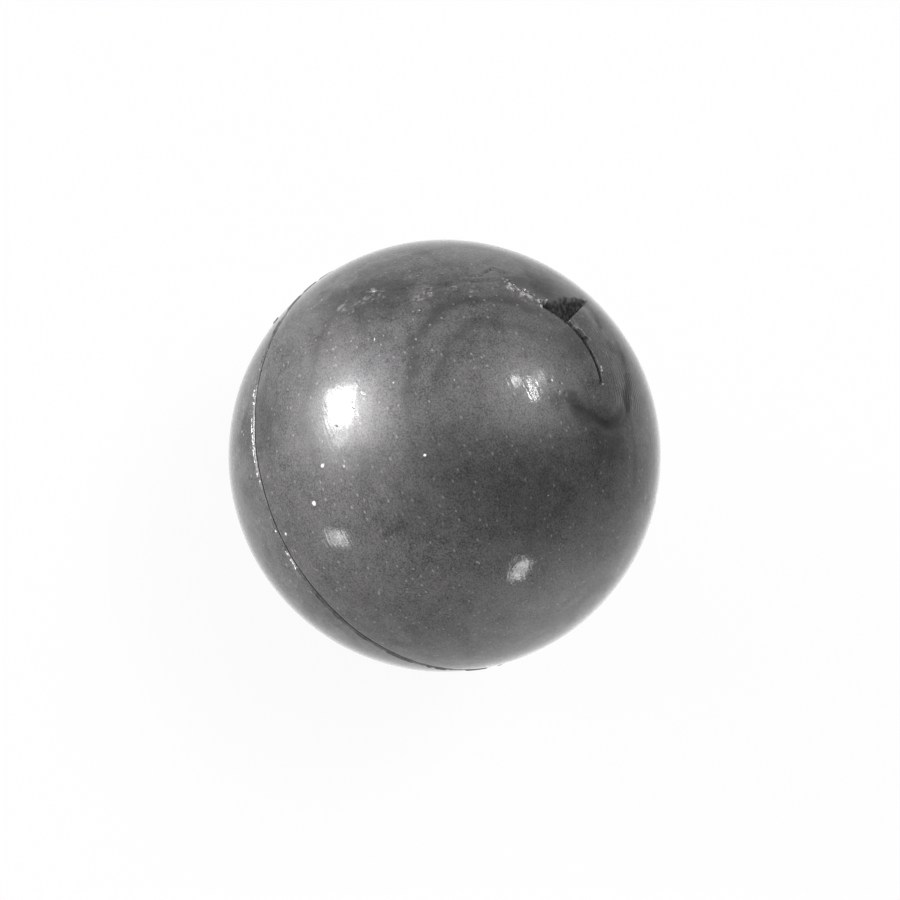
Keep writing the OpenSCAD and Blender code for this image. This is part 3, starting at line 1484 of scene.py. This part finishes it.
    def held(self, height: np.ndarray) -> np.ndarray:
        """Eases the deepest tears off before they reach the inside of the wall.

        Args:
            height: Heights above the plain skin in millimetres.

        Returns:
            Heights that leave at least the least wall under them.
        """
        free = self.free_share * self.wall
        room = self.wall - self.least_wall - free
        over = np.maximum(0.0, -height - free)
        return np.maximum(height, -free) - room * np.tanh(over / room)

    def close(self, skin: bpy.types.Object, lining: bpy.types.Object) -> None:
        """Turns the lining inwards, joins it to the skin and bridges the rim.

        Args:
            skin: The outer bowl, which becomes the finished half.
            lining: The inner bowl, which is used up.
        """
        take(lining)
        bpy.ops.object.mode_set(mode="EDIT")
        bpy.ops.mesh.select_all(action="SELECT")
        bpy.ops.mesh.flip_normals()
        leave_edit_mode()
        take(skin)
        lining.select_set(True)
        bpy.ops.object.join()
        bpy.ops.object.mode_set(mode="EDIT")
        bpy.ops.mesh.select_mode(type="EDGE")
        bpy.ops.mesh.select_all(action="DESELECT")
        mesh = bmesh.from_edit_mesh(skin.data)
        for edge in mesh.edges:
            edge.select_set(edge.is_boundary)
        bmesh.update_edit_mesh(skin.data)
        bpy.ops.mesh.bridge_edge_loops()
        leave_edit_mode()

    def dress(self, piece: bpy.types.Object, finish: bpy.types.Material) -> None:
        """Gives the half its finish and its place in the frame.

        Args:
            piece: The built half.
            finish: The material.
        """
        settle(piece, finish, self.node())


@dataclass
class Cover:
    """Both halves of the cover."""

    finish: CoverRubber = CoverRubber()
    port_radius: float = 1.2
    port_flare: float = 0.35
    port_cut: tuple[float, float] = (5.0, 1.5)
    port_rim: tuple[float, float, float] = (0.9, 0.75, 0.5)

    def upper(self) -> CoverHalf:
        """The half that carries the lap.

        Returns:
            The half, ready to build.
        """
        fold = Crease(FOLD_POLE, (240, 249, 257, 265, 275, 285, 290, 300),
                      (40.6, 38.2, 36.7, 35.4, 37.4, 39.5, 43.6, 42.0), 0.20, 0.42, 0.06, 0.40, 21.0)
        top_crack = Crease(LAP_POLE, (264, 268, 272, 279, 286), (34.2, 34.6, 35.6, 31.9, 32.0),
                           0.26, 0.26, 0.05, 0.35, 5.0)
        pits = Grains.spots(MOULD_POLE, ((6.7, 230.0), (5.7, 253.0), (7.3, 247.0), (9.5, 232.0)))
        return CoverHalf(
            Half.UPPER,
            reliefs=[Undulation(), SeamEdge(Half.UPPER), LapCrack(), LapNotch(), Tongue(), fold, top_crack,
                     Grains(pits, 0.22, -0.05), Grains(((0.151, 0.664, 0.732),), 0.2, 0.22, 0.0, 0.0)],
            dust_and_glints=[*self.torn_bits(), self.dust_grains(Half.UPPER), self.seen_dust()],
            # The crack and notch, whose colour takes painted shade.
            torn=[LapCrack(lip_height=0.0), LapNotch()],
            shade_patches=self.upper_shade_patches(),
        )

    def lower(self) -> CoverHalf:
        """The half with the needle port.

        Returns:
            The half, ready to build.
        """
        nib = Grains(((-0.881, -0.443, -0.167),), 0.2, 0.13, 0.0, 0.2)
        return CoverHalf(
            Half.LOWER,
            reliefs=[Undulation(), SeamEdge(Half.LOWER), nib],
            # The seam's painted glints are among these grains.
            dust_and_glints=[self.dust_grains(Half.LOWER), self.seam_glints()],
            # A painted shade patch near the seam.
            shade_patches=[ShadePatch((-0.440, -0.895, -0.079), 5.0, 0.45, 18.0)],
        )

    @staticmethod
    def torn_bits() -> list[Grains]:
        """Flecks and scabs on the old fold, crumbs and a flake beside the notch, and pale spots in the crack
        that are painted glints.

        Returns:
            One set of grains for each.
        """
        flecks = Grains.trail(FOLD_POLE, (36.6, 250.0), (33.6, 274.0), 24, 1.5, 9)
        scabs = Grains.trail(FOLD_POLE, (39.0, 284.0), (44.0, 301.0), 20, 1.9, 12)
        crumbs = Grains.trail(LAP_POLE, (25.3, 245.0), (28.8, 267.0), 34, 1.0, 4)
        flake = Grains.trail(LAP_POLE, (25.2, 246.2), (28.0, 245.4), 8, 0.3, 8)
        # Painted glints: pale spots on the crack's far side.
        glints = Grains.spots(LAP_POLE, ((26.7, 199.2), (26.6, 198.3), (26.5, 197.4), (26.4, 196.6),
                                         (25.6, 188.6)))
        return [Grains(flecks, 0.24, 0.045, 0.11, 1.1), Grains(scabs, 0.26, 0.045, 0.10, 1.1),
                Grains(crumbs, 0.21, 0.24, 0.30, 1.1), Grains(flake, 0.17, 0.16, 0.6),
                Grains(glints, 0.14, 0.12, 0.9)]

    @staticmethod
    def upper_shade_patches() -> list[ShadePatch]:
        """Painted shade patches of the upper half: beside the lap, over the skin, and in two dark lines.

        Returns:
            The patches.
        """
        beside_lap = [ShadePatch(LAP_POLE.point(polar, azimuth), *look) for polar, azimuth, *look in (
            (33.0, 250.0, 4.6, 0.6, 2.0), (31.0, 262.0, 3.4, 0.5, 4.0), (38.0, 222.0, 2.2, 0.4, 12.0))]
        over_skin = [ShadePatch((x, y, z), *look) for x, y, z, *look in (
            (-0.237, 0.014, 0.971, 2.0, 0.5, 6.0),
            (-0.735, -0.410, 0.540, 8.5, 0.6, 14.0),
            (-0.610, -0.245, 0.754, 4.5, 0.45, 43.0),
            (-0.799, -0.485, 0.355, 4.5, 0.45, 47.0),
            (-0.097, -0.817, 0.568, 4.0, 0.35, 53.0),
            (0.060, -0.640, 0.765, 10.0, 0.40, 10.0),
            (-0.450, -0.890, 0.060, 8.0, 0.5, 18.0),
            (0.154, -0.768, 0.621, 6.0, 0.40, 23.0),
            (0.220, -0.480, 0.849, 12.0, 0.32, 29.0),
            (0.230, 0.060, 0.971, 6.0, 0.45, 31.0),
            (-0.199, 0.094, 0.976, 4.5, 0.45, 37.0))]
        # Painted shade in two dark lines.
        dark_line = ShadePatch.trail(((4.2, -95.0), (5.1, -54.0), (5.9, -8.0), (9.4, 19.0), (13.0, 41.0),
                                  (15.4, 61.0), (17.0, 75.0), (19.5, 84.0)), 1.7, 0.7, 4)
        faint_line = ShadePatch.trail(((18.4, 48.6), (23.0, 32.0), (29.4, 19.0)), 0.9, 0.35, 7)
        return [*beside_lap, *over_skin, *dark_line, *faint_line]

    @staticmethod
    def dust_grains(half: Half) -> Grains:
        """Dust that sticks to the tacky skin, scattered over one half.

        Args:
            half: Which half.

        Returns:
            The grains.
        """
        rng = np.random.default_rng(31 + half.value)
        places = rng.normal(size=(16, 3))
        places /= np.linalg.norm(places, axis=1, keepdims=True)
        places[:, 2] = half.value * np.abs(places[:, 2])
        return Grains(tuple(map(tuple, places)), 0.09, 0.03, 0.6)

    @staticmethod
    def seen_dust() -> Grains:
        """Dust in larger grains, each at its own polar angle and azimuth about the mould axis."""
        spots = ((43.2, -92.9), (68.0, -100.4), (62.4, -98.2), (73.8, -92.6), (87.2, -88.6), (40.7, -141.8))
        return Grains(Grains.spots(MOULD_POLE, spots), 0.25, 0.07, 1.4, 0.2)

    @staticmethod
    def seam_glints() -> Grains:
        """Short pale dashes painted on the flash beside the seam as its glints.

        Returns:
            The grains that make them up.
        """
        dashes = ((-126.6, -124.4), (-117.8, -115.4), (-113.4, -109.4), (-108.4, -107.8),
                  (-105.0, -104.4), (-90.6, -90.0), (-84.8, -83.6), (-82.8, -79.8))
        places: list[Direction] = []
        for i, (first, last) in enumerate(dashes):
            count = 2 + round((last - first) / 0.22)
            places += Grains.trail(MOULD_POLE, (90.85, first), (90.85, last), count, 0.05, 40 + i)
        return Grains(tuple(places), 0.12, 0.03, 0.85, 0.2)

    def drill_port(self, lower: bpy.types.Object, radius: float) -> None:
        """Cuts the needle port through the lower half, with a softly flared mouth.

        Args:
            lower: The lower half.
            radius: The ball's radius in millimetres.
        """
        length, sunk = self.port_cut
        cutter = add_cylinder(self.port_radius, length, -(radius - sunk), 64)
        outside, lift, flared = self.port_rim
        edit_faces(cutter, lambda centres, _: centres[:, 2] < -(radius + outside))
        bpy.ops.transform.translate(value=(0, 0, lift * MM))
        bpy.ops.mesh.extrude_region_move(TRANSFORM_OT_translate={"value": (0, 0, -flared * MM)})
        flare = 1 + self.port_flare / self.port_radius
        bpy.ops.transform.resize(value=(flare, flare, 1))
        leave_edit_mode()
        cut_away(lower, cutter, "needle_port")

    def build(self) -> list[bpy.types.Object]:
        """Builds and dresses both halves.

        Returns:
            The two pieces.
        """
        finish = self.finish.material()
        pieces = []
        for half in (self.upper(), self.lower()):
            piece = half.build()
            if half.half is Half.LOWER:
                self.drill_port(piece, half.radius)
            half.dress(piece, finish)
            pieces.append(piece)
        return pieces


# ---- inside the ball -----------------------------------------------------


@dataclass(frozen=True)
class VentGrooves:
    """Shallow grooves down the outside of the bladder that let trapped air out while the cover cures."""

    count: int = 18
    depth: float = 0.16
    width: float = 0.45
    slack: tuple[float, float] = (0.04, 0.05)
    slack_pattern: Pattern = (8.0, 41.0, 2)
    fine: float = 0.45
    plain: float = 1.2

    def across(self, unit: np.ndarray, radius: float) -> tuple[np.ndarray, np.ndarray]:
        """Distance across the nearest groove in millimetres, and distance from the axis as a share.

        Args:
            unit: Unit directions, one row each.
            radius: The ball's radius in millimetres.

        Returns:
            The two for each direction.
        """
        ring = np.hypot(unit[:, 0], unit[:, 1])
        pitch = 2 * math.pi / self.count
        azimuth = np.arctan2(unit[:, 1], unit[:, 0])
        return (np.mod(azimuth + pitch / 2, pitch) - pitch / 2) * radius * ring, ring

    def height(self, unit: np.ndarray, radius: float) -> np.ndarray:
        """Height above the plain bowl at each direction, in millimetres.

        Args:
            unit: Unit directions, one row each.
            radius: The ball's radius in millimetres.

        Returns:
            A height for each direction.
        """
        off, ring = self.across(unit, radius)
        fade = ease(0.25, 0.4, ring) * ease(0.06, 0.14, np.abs(unit[:, 2]))
        waver, inset = self.slack
        slack = waver * clouds(unit * radius, *self.slack_pattern) - inset
        return slack - self.depth * fade * hump(off, self.width)

    def spacing(self, unit: np.ndarray, radius: float) -> np.ndarray:
        """Mesh spacing that it needs at each direction, in millimetres."""
        off, ring = self.across(unit, radius)
        return np.where((np.abs(off) < 1.0) & (ring > 0.25), self.fine, self.plain)


@dataclass
class BladderHalf(CoverHalf):
    """One moulded half of the bladder, a thinner bowl inside the cover's."""

    part: str = "bladder"
    slot: str = "bladder_rubber"
    radius: float = 29.5
    wall: float = 1.6
    cement: float = 0.0
    outer_cuts: int = 35
    passes: int = 2
    reliefs: list[Relief] = field(default_factory=lambda: [VentGrooves()])
    neck: float = 3.1

    def build(self) -> bpy.types.Object:
        """Builds the half, and opens it for the valve if it is the lower one.

        Returns:
            The new piece.
        """
        piece = super().build()
        if self.half is Half.LOWER:
            cut_away(piece, add_cylinder(self.neck, 6.0, -self.radius, 96), "neck_opening")
        return piece


def along_bowl(radius: float, start: float, end: float, count: int) -> list[tuple[float, float]]:
    """Points of a meridian on the lower side of a sphere.

    Args:
        radius: The sphere's radius in millimetres.
        start: Distance from the axis of the first point.
        end: Distance from the axis of the last point.
        count: How many points.

    Returns:
        Distance from the axis and height of each point.
    """
    reach = [start + (end - start) * i / (count - 1) for i in range(count)]
    return [(r, -math.sqrt(radius ** 2 - r ** 2)) for r in reach]


@dataclass
class Turned:
    """A piece that is round about the mould axis, spun from its outline."""

    name: str
    outline: list[tuple[float, float]]
    looped: bool = True
    steps: int = 96
    crisp: float = 32.0

    def build(self) -> bpy.types.Object:
        """Spins the outline round the axis.

        Returns:
            The new piece.
        """
        leave_edit_mode()
        count = len(self.outline)
        edges = [(i, (i + 1) % count) for i in range(count if self.looped else count - 1)]
        mesh = bpy.data.meshes.new(self.name)
        mesh.from_pydata([(r * MM, 0.0, z * MM) for r, z in self.outline], edges, [])
        piece = bpy.data.objects.new(self.name, mesh)
        bpy.context.scene.collection.objects.link(piece)
        take(piece)
        bpy.ops.object.mode_set(mode="EDIT")
        bpy.ops.mesh.select_all(action="SELECT")
        bpy.ops.mesh.spin(steps=self.steps, angle=2 * math.pi, center=(0, 0, 0), axis=(0, 0, 1))
        bpy.ops.mesh.select_all(action="SELECT")
        bpy.ops.mesh.remove_doubles(threshold=0.002 * MM)
        bpy.ops.mesh.normals_make_consistent(inside=False)
        leave_edit_mode()
        bpy.ops.object.shade_smooth_by_angle(angle=math.radians(self.crisp))
        return piece


@dataclass
class SpliceTape:
    """The tape over the bladder's joint, its ends lapped over one another."""

    radius: float = 27.85
    thickness: float = 0.66
    width: float = 9.0
    lap_thickness: float = 0.35
    lap_degrees: float = 16.0
    rows: int = 14
    edge_shares: tuple[float, ...] = (0.35, 0.85)
    waver: float = 0.05
    waver_pattern: Pattern = (2.5, 51.0, 3)

    def build(self) -> bpy.types.Object:
        """Builds the tape.

        Returns:
            The new piece.
        """
        half = math.degrees(math.asin(0.5 * self.width / self.radius))
        tilts = [math.radians(-half + 2 * half * i / (self.rows - 1)) for i in range(self.rows)]
        outline = [(self.radius * math.cos(t), self.radius * math.sin(t)) for t in tilts]
        for i, t in enumerate(reversed(tilts)):
            edge = min(i, self.rows - 1 - i)
            depth = self.thickness * (self.edge_shares[edge] if edge < len(self.edge_shares) else 1.0)
            outline.append(((self.radius - depth) * math.cos(t), (self.radius - depth) * math.sin(t)))
        piece = Turned("splice_tape_strip", outline, steps=240).build()
        places = positions(piece)
        radial = np.linalg.norm(places, axis=1)
        azimuth = np.degrees(np.arctan2(places[:, 1], places[:, 0]))
        lapped = ease(0.0, 0.8, azimuth) * (1 - ease(self.lap_degrees - 1, self.lap_degrees, azimuth))
        inside = radial < self.radius - 0.1
        waver = self.waver * clouds(places, *self.waver_pattern)
        pull = inside * (self.lap_thickness * lapped + waver)
        set_positions(piece, places * (1 - pull / radial)[:, None])
        return piece


@dataclass
class ValveBoot:
    """The moulded boot that holds the plug: neck, flange, ribbed body and breathing hole."""

    bore: float = 2.02
    neck: float = 3.06
    flange: float = 8.0
    flange_thickness: float = 1.05
    body: float = 4.2
    seat: float = 29.46
    bowl: float = 27.86
    top: float = -18.4
    floor: float = -20.4
    ribs: int = 4
    rib_depth: float = 0.22
    bend: float = 0.9
    hole: float = 0.6

    def build(self) -> bpy.types.Object:
        """Builds the boot.

        Returns:
            The new piece.
        """
        under = along_bowl(self.seat, self.bore + 0.15, self.neck - 0.1, 4)
        lip = along_bowl(self.bowl, self.neck, self.flange - 0.15, 14)
        upper = along_bowl(self.bowl - self.flange_thickness, self.flange - 0.5, self.body + self.bend, 10)
        foot_z = upper[-1][1]
        bend = self.bend
        quarter = [math.pi / 2 * i / 6 for i in range(7)]
        fillet = [(self.body + bend * (1 - math.sin(a)), foot_z + 0.1 + bend * (1 - math.cos(a)))
                  for a in quarter[1:]]
        first, last = fillet[-1][1] + 0.3, self.top - bend
        body: list[tuple[float, float]] = []
        samples = self.ribs * 10
        for i in range(samples + 1):
            wave = max(0.0, math.cos(2 * math.pi * self.ribs * i / samples))
            body.append((self.body - self.rib_depth * (1 - wave), first + (last - first) * i / samples))
        shoulder = [(self.body - bend * (1 - math.cos(a)), self.top - bend * (1 - math.sin(a)))
                    for a in quarter]
        hole = [(self.hole + 0.35, self.top), (self.hole + 0.06, self.top - 0.25),
                (self.hole, self.top - 0.6), (self.hole, self.floor)]
        cavity = [(self.bore - 0.3, self.floor), (self.bore, self.floor - 0.3)]
        mouth = [(self.bore, under[0][1] + 0.15)]
        outline = under + [(self.neck, under[-1][1] + 0.12)] + lip
        outline += [(self.flange, lip[-1][1] + 0.2), (self.flange - 0.12, lip[-1][1] + 0.6)]
        outline += upper + fillet + body + shoulder + hole + cavity + mouth
        return Turned("valve_boot_moulding", outline).build()


@dataclass
class ValvePlug:
    """The soft plug that seals itself: a flared pilot hole, and the slit above it."""

    radius: float = 1.96
    seat: float = 29.42
    top: float = -20.46
    pilot: float = 0.7
    pilot_end: float = -26.7
    slit: tuple[float, float, float] = (1.4, 0.12, 6.0)
    slit_middle: float = -24.5
    waist: tuple[float, float, float] = (0.10, -28.0, 6.8)

    def build(self) -> bpy.types.Object:
        """Builds the plug.

        Returns:
            The new piece.
        """
        face = along_bowl(self.seat, self.pilot + 0.35, self.radius - 0.3, 4)
        flare = [(self.pilot + 0.15, face[0][1] + 0.12), (self.pilot, face[0][1] + 0.4)]
        pilot = [(0.0, self.pilot_end), (0.45, self.pilot_end - 0.08), (self.pilot, self.pilot_end - 0.35)]
        side = [(self.radius - 0.08, face[-1][1] + 0.1), (self.radius, face[-1][1] + 0.35)]
        pinch, start, rise = self.waist
        waist = [(self.radius - pinch * math.sin(math.pi * i / 8) ** 2, start + rise * i / 8)
                 for i in range(9)]
        cap = [(self.radius - 0.1, self.top - 0.12), (self.radius - 0.4, self.top), (0.0, self.top)]
        outline = pilot + flare[::-1] + face + side + waist + cap
        piece = Turned("valve_plug_moulding", outline, looped=False, steps=64).build()
        bpy.ops.object.select_all(action="DESELECT")
        bpy.ops.mesh.primitive_cube_add(size=1.0, location=(0, 0, self.slit_middle * MM))
        blade = bpy.context.object
        blade.scale = tuple(side * MM for side in self.slit)
        bpy.ops.object.transform_apply(location=True, rotation=True, scale=True)
        cut_away(piece, blade, "slit")
        return piece


@dataclass
class CementRing:
    """The cured cement between the halves, its outer edge left ragged in the seam."""

    inner: float = 29.52
    outer: float = 32.26
    thickness: float = 0.19
    ragged: float = 0.06
    ragged_pattern: Pattern = (1.6, 61.0, 3)
    ragged_from: tuple[float, float] = (31.6, 32.2)

    def build(self) -> bpy.types.Object:
        """Builds the ring.

        Returns:
            The new piece.
        """
        half = self.thickness / 2
        across = [self.inner + (self.outer - 0.06 - self.inner) * i / 6 for i in range(7)]
        outline = [(r, -half) for r in across] + [(self.outer, -half * 0.4), (self.outer, half * 0.4)]
        outline += [(r, half) for r in reversed(across)]
        piece = Turned("cement_film", outline, steps=360).build()
        places = positions(piece)
        ring = np.hypot(places[:, 0], places[:, 1])
        drawn = self.ragged * (0.5 + clouds(places, *self.ragged_pattern)) * ease(*self.ragged_from, ring)
        places[:, :2] *= (1 - np.clip(drawn, 0, None) / ring)[:, None]
        set_positions(piece, places)
        return piece


@dataclass
class AirChamber:
    """The bladder, its splice tape, the cement ring and the needle valve."""

    cement: PlainRubber = PlainRubber("cement_finish", (0.05, 0.045, 0.04), (0.02, 0.018, 0.016),
                                      1.2, 0.3, 0.5)
    bladder: PlainRubber = PlainRubber("bladder_finish", (0.035, 0.035, 0.038), (0.016, 0.016, 0.018),
                                       6.0, 0.5, 0.55, powder=0.55)
    gum: PlainRubber = PlainRubber("gum_tape_finish", (0.50, 0.36, 0.18), (0.36, 0.24, 0.11),
                                   3.0, 0.4, 0.45, coat=0.3, glow_depth=1.0)
    boot: PlainRubber = PlainRubber("boot_finish", (0.05, 0.048, 0.048), (0.022, 0.021, 0.021),
                                    2.0, 0.3, 0.48)
    plug: PlainRubber = PlainRubber("plug_finish", (0.58, 0.45, 0.25), (0.44, 0.32, 0.16),
                                    1.4, 0.25, 0.35, coat=0.5, glow_depth=1.0)

    def build(self) -> list[bpy.types.Object]:
        """Builds and dresses the inner pieces.

        Returns:
            The pieces.
        """
        skin = self.bladder.material()
        pieces = []
        for half in (BladderHalf(Half.UPPER), BladderHalf(Half.LOWER)):
            piece = half.build()
            half.dress(piece, skin)
            pieces.append(piece)
        for maker, finish, slot, node in (
            (CementRing(), self.cement, "cement", "cover_cement_ring"),
            (SpliceTape(), self.gum, "gum_tape", "bladder_splice_tape"),
            (ValveBoot(), self.boot, "boot_rubber", "valve_boot"),
            (ValvePlug(), self.plug, "plug_gum", "valve_plug"),
        ):
            piece = maker.build()
            settle(piece, finish.material(), node)
            pieces.append(piece)
        return pieces


# ---- studio --------------------------------------------------------------


@dataclass(frozen=True)
class Lamp:
    """A soft box, given by the point of the ball in which the camera sees it mirrored."""

    name: str
    spot: Direction
    distance: float
    width: float
    height: float
    power: float
    roll: float = 0.0

    def place(self, radius: float, eye: Vector, up: Vector) -> None:
        """Adds the lamp so that it is mirrored at its spot.

        Args:
            radius: The ball's radius in metres.
            eye: Where the camera is.
            up: The camera's upward direction, which the lamp's long side follows.
        """
        normal = Vector(self.spot).normalized()
        spot = normal * radius
        view = (eye - spot).normalized()
        away = (2 * normal.dot(view) * normal - view).normalized()
        tall = (up - away * up.dot(away)).normalized()
        tall.rotate(Matrix.Rotation(math.radians(self.roll), 3, away))
        axes = Matrix((tall.cross(away), tall, away)).transposed()
        bpy.ops.object.light_add(type="AREA")
        lamp = bpy.context.object
        lamp.name = self.name
        lamp.matrix_world = Matrix.Translation(spot + away * self.distance) @ axes.to_4x4()
        lamp.data.shape = "RECTANGLE"
        lamp.data.size, lamp.data.size_y = self.width, self.height
        lamp.data.energy = self.power
        lamp.visible_camera = False


@dataclass(frozen=True)
class Glow:
    """A soft patch of the light tent that is brighter or darker than the rest."""

    towards: Direction
    strength: float
    spread: float

    def add(self, desk: NodeDesk) -> bpy.types.NodeSocket:
        """Adds the patch's nodes.

        Args:
            desk: The surroundings' desk.

        Returns:
            Socket of the patch's brightness.
        """
        towards = Vector(self.towards).normalized()
        dot = desk.node("ShaderNodeVectorMath", {"operation": "DOT_PRODUCT"}, {0: desk.place, 1: towards})
        sharp = 2.0 / math.radians(self.spread) ** 2
        fall = desk.node("ShaderNodeMath", {"operation": "MULTIPLY_ADD"},
                         {0: dot.outputs["Value"], 1: sharp, 2: -sharp}).outputs[0]
        return desk.sums("MULTIPLY", desk.sums("EXPONENT", fall, 0.0), self.strength)


@dataclass
class Studio:
    """A plain pale floor, a light tent with soft patches, a few soft boxes, and the camera."""

    radius: float = BALL_RADIUS * MM
    camera_distance: float = 0.21775
    lens: float = 57.32
    sensor: float = 36.0
    nearest: float = 0.005
    right: Direction = (0.4115, 0.7073, 0.5748)
    up: Direction = (-0.9114, 0.3194, 0.2595)
    back: Direction = (0.0, -0.6307, 0.7760)
    shift: tuple[float, float] = (0.0059, 0.0065)
    floor_size: float = 6.0
    tent: float = 0.70
    tent_least: float = 0.02
    backdrop: float = 0.98
    glows: tuple[Glow, ...] = (
        Glow((-0.620, -0.776, 0.100), 12.6, 16.8),
        Glow((-0.672, -0.740, 0.023), 0.62, 46.0),
        Glow((-0.220, 0.225, 0.949), 4.7, 18.5),
        Glow((0.97, 0.25, -0.05), 0.95, 26.0),
        Glow((-0.80, 0.10, 0.58), -0.28, 22.0),
        Glow((0.42, 0.12, 0.90), -0.92, 34.0),
        Glow((0.20, -0.50, 0.84), -0.42, 28.0),
        Glow((0.36, 0.66, 0.66), -0.42, 22.0),
        Glow((-0.20, 0.96, 0.10), -0.20, 20.0),
        Glow((-0.63, -0.38, -0.68), -0.13, 22.0),
        Glow((-0.22, -0.97, 0.00), 0.32, 15.0),
        Glow((0.82, -0.54, -0.21), 0.12, 24.0),
        Glow((0.141, 0.665, -0.733), 0.68, 36.0),
    )
    lamps: tuple[Lamp, ...] = (
        Lamp("key_box", (-0.363, -0.791, 0.493), 0.70, 0.15, 0.18, 3.0, 20.0),
        Lamp("key_edge", (-0.360, -0.795, 0.489), 0.70, 0.21, 0.26, 1.7, 20.0),
        Lamp("key_tail", (-0.27, -0.832, 0.486), 0.70, 0.10, 0.20, 0.42),
        Lamp("top_box", (-0.100, -0.229, 0.968), 0.70, 0.008, 0.13, 0.60, -8.0),
        Lamp("top_box_left", (-0.160, -0.272, 0.949), 0.70, 0.055, 0.035, 0.23, 25.0),
        Lamp("top_box_right", (-0.136, -0.170, 0.976), 0.70, 0.016, 0.09, 0.09, -42.0),
        Lamp("low_box", (0.125, -0.944, 0.305), 0.70, 0.13, 0.09, 0.50, -20.0),
        Lamp("side_box", (0.548, -0.457, 0.700), 0.70, 0.09, 0.13, 0.50, 18.0),
    )

    def build(self) -> None:
        """Sets up floor, surroundings, lamps, camera and colour handling."""
        self.floor()
        self.surroundings()
        eye = Vector(self.back) * self.camera_distance
        for lamp in self.lamps:
            lamp.place(self.radius, eye, Vector(self.up))
        self.camera()
        bpy.context.scene.view_settings.view_transform = "Standard"

    def floor(self) -> None:
        """Lays a pale floor that takes a faint soft shadow."""
        leave_edit_mode()
        bpy.ops.object.select_all(action="DESELECT")
        bpy.ops.mesh.primitive_plane_add(size=self.floor_size, location=(0, 0, -self.radius))
        floor = bpy.context.object
        floor.name = "studio_floor"
        material = bpy.data.materials.new("studio_floor_paint")
        material.use_nodes = True
        paint = material.node_tree.nodes["Principled BSDF"]
        for name, value in (("Base Color", (0.05, 0.05, 0.05, 1.0)), ("Roughness", 1.0),
                            ("Specular IOR Level", 0.0), ("Emission Color", (0.985, 0.98, 0.985, 1.0)),
                            ("Emission Strength", 0.95)):
            paint.inputs[name].default_value = value
        floor.data.materials.append(material)
        floor.visible_glossy = floor.visible_diffuse = floor.visible_shadow = False

    def surroundings(self) -> None:
        """Lights the ball from all round, brighter and darker in soft patches."""
        world = bpy.data.worlds.new("light_tent")
        bpy.context.scene.world = world
        world.use_nodes = True
        desk = NodeDesk(world.node_tree, "Generated")
        total: object = self.tent
        for glow in self.glows:
            total = desk.sums("ADD", glow.add(desk), total)
        lit = desk.sums("MAXIMUM", total, self.tent_least)
        seen = desk.node("ShaderNodeLightPath").outputs["Is Camera Ray"]
        pick = desk.node("ShaderNodeMix", None, {0: seen, 2: lit, 3: self.backdrop}).outputs[0]
        sky = desk.tree.nodes["Background"]
        sky.inputs["Color"].default_value = (1.0, 0.99, 1.0, 1.0)
        desk.tree.links.new(pick, sky.inputs["Strength"])

    def camera(self) -> None:
        """Adds the camera at the viewing angle."""
        bpy.ops.object.camera_add()
        camera = bpy.context.object
        axes = Matrix((self.right, self.up, self.back)).transposed()
        camera.matrix_world = Matrix.Translation(Vector(self.back) * self.camera_distance) @ axes.to_4x4()
        camera.data.lens = self.lens
        camera.data.sensor_width = self.sensor
        camera.data.shift_x, camera.data.shift_y = self.shift
        camera.data.clip_start = self.nearest
        camera.data.dof.use_dof = False
        bpy.context.scene.camera = camera


def main() -> None:
    """Builds the ball, piece by piece, and then the studio."""
    logging.basicConfig(level=logging.INFO, format="%(name)s %(message)s")
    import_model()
    for assembly in (Cover(), AirChamber()):
        for piece in assembly.build():
            LOG.info("%s: %d faces", piece.name, len(piece.data.polygons))
    Studio().build()


if __name__ == "__main__":
    main()
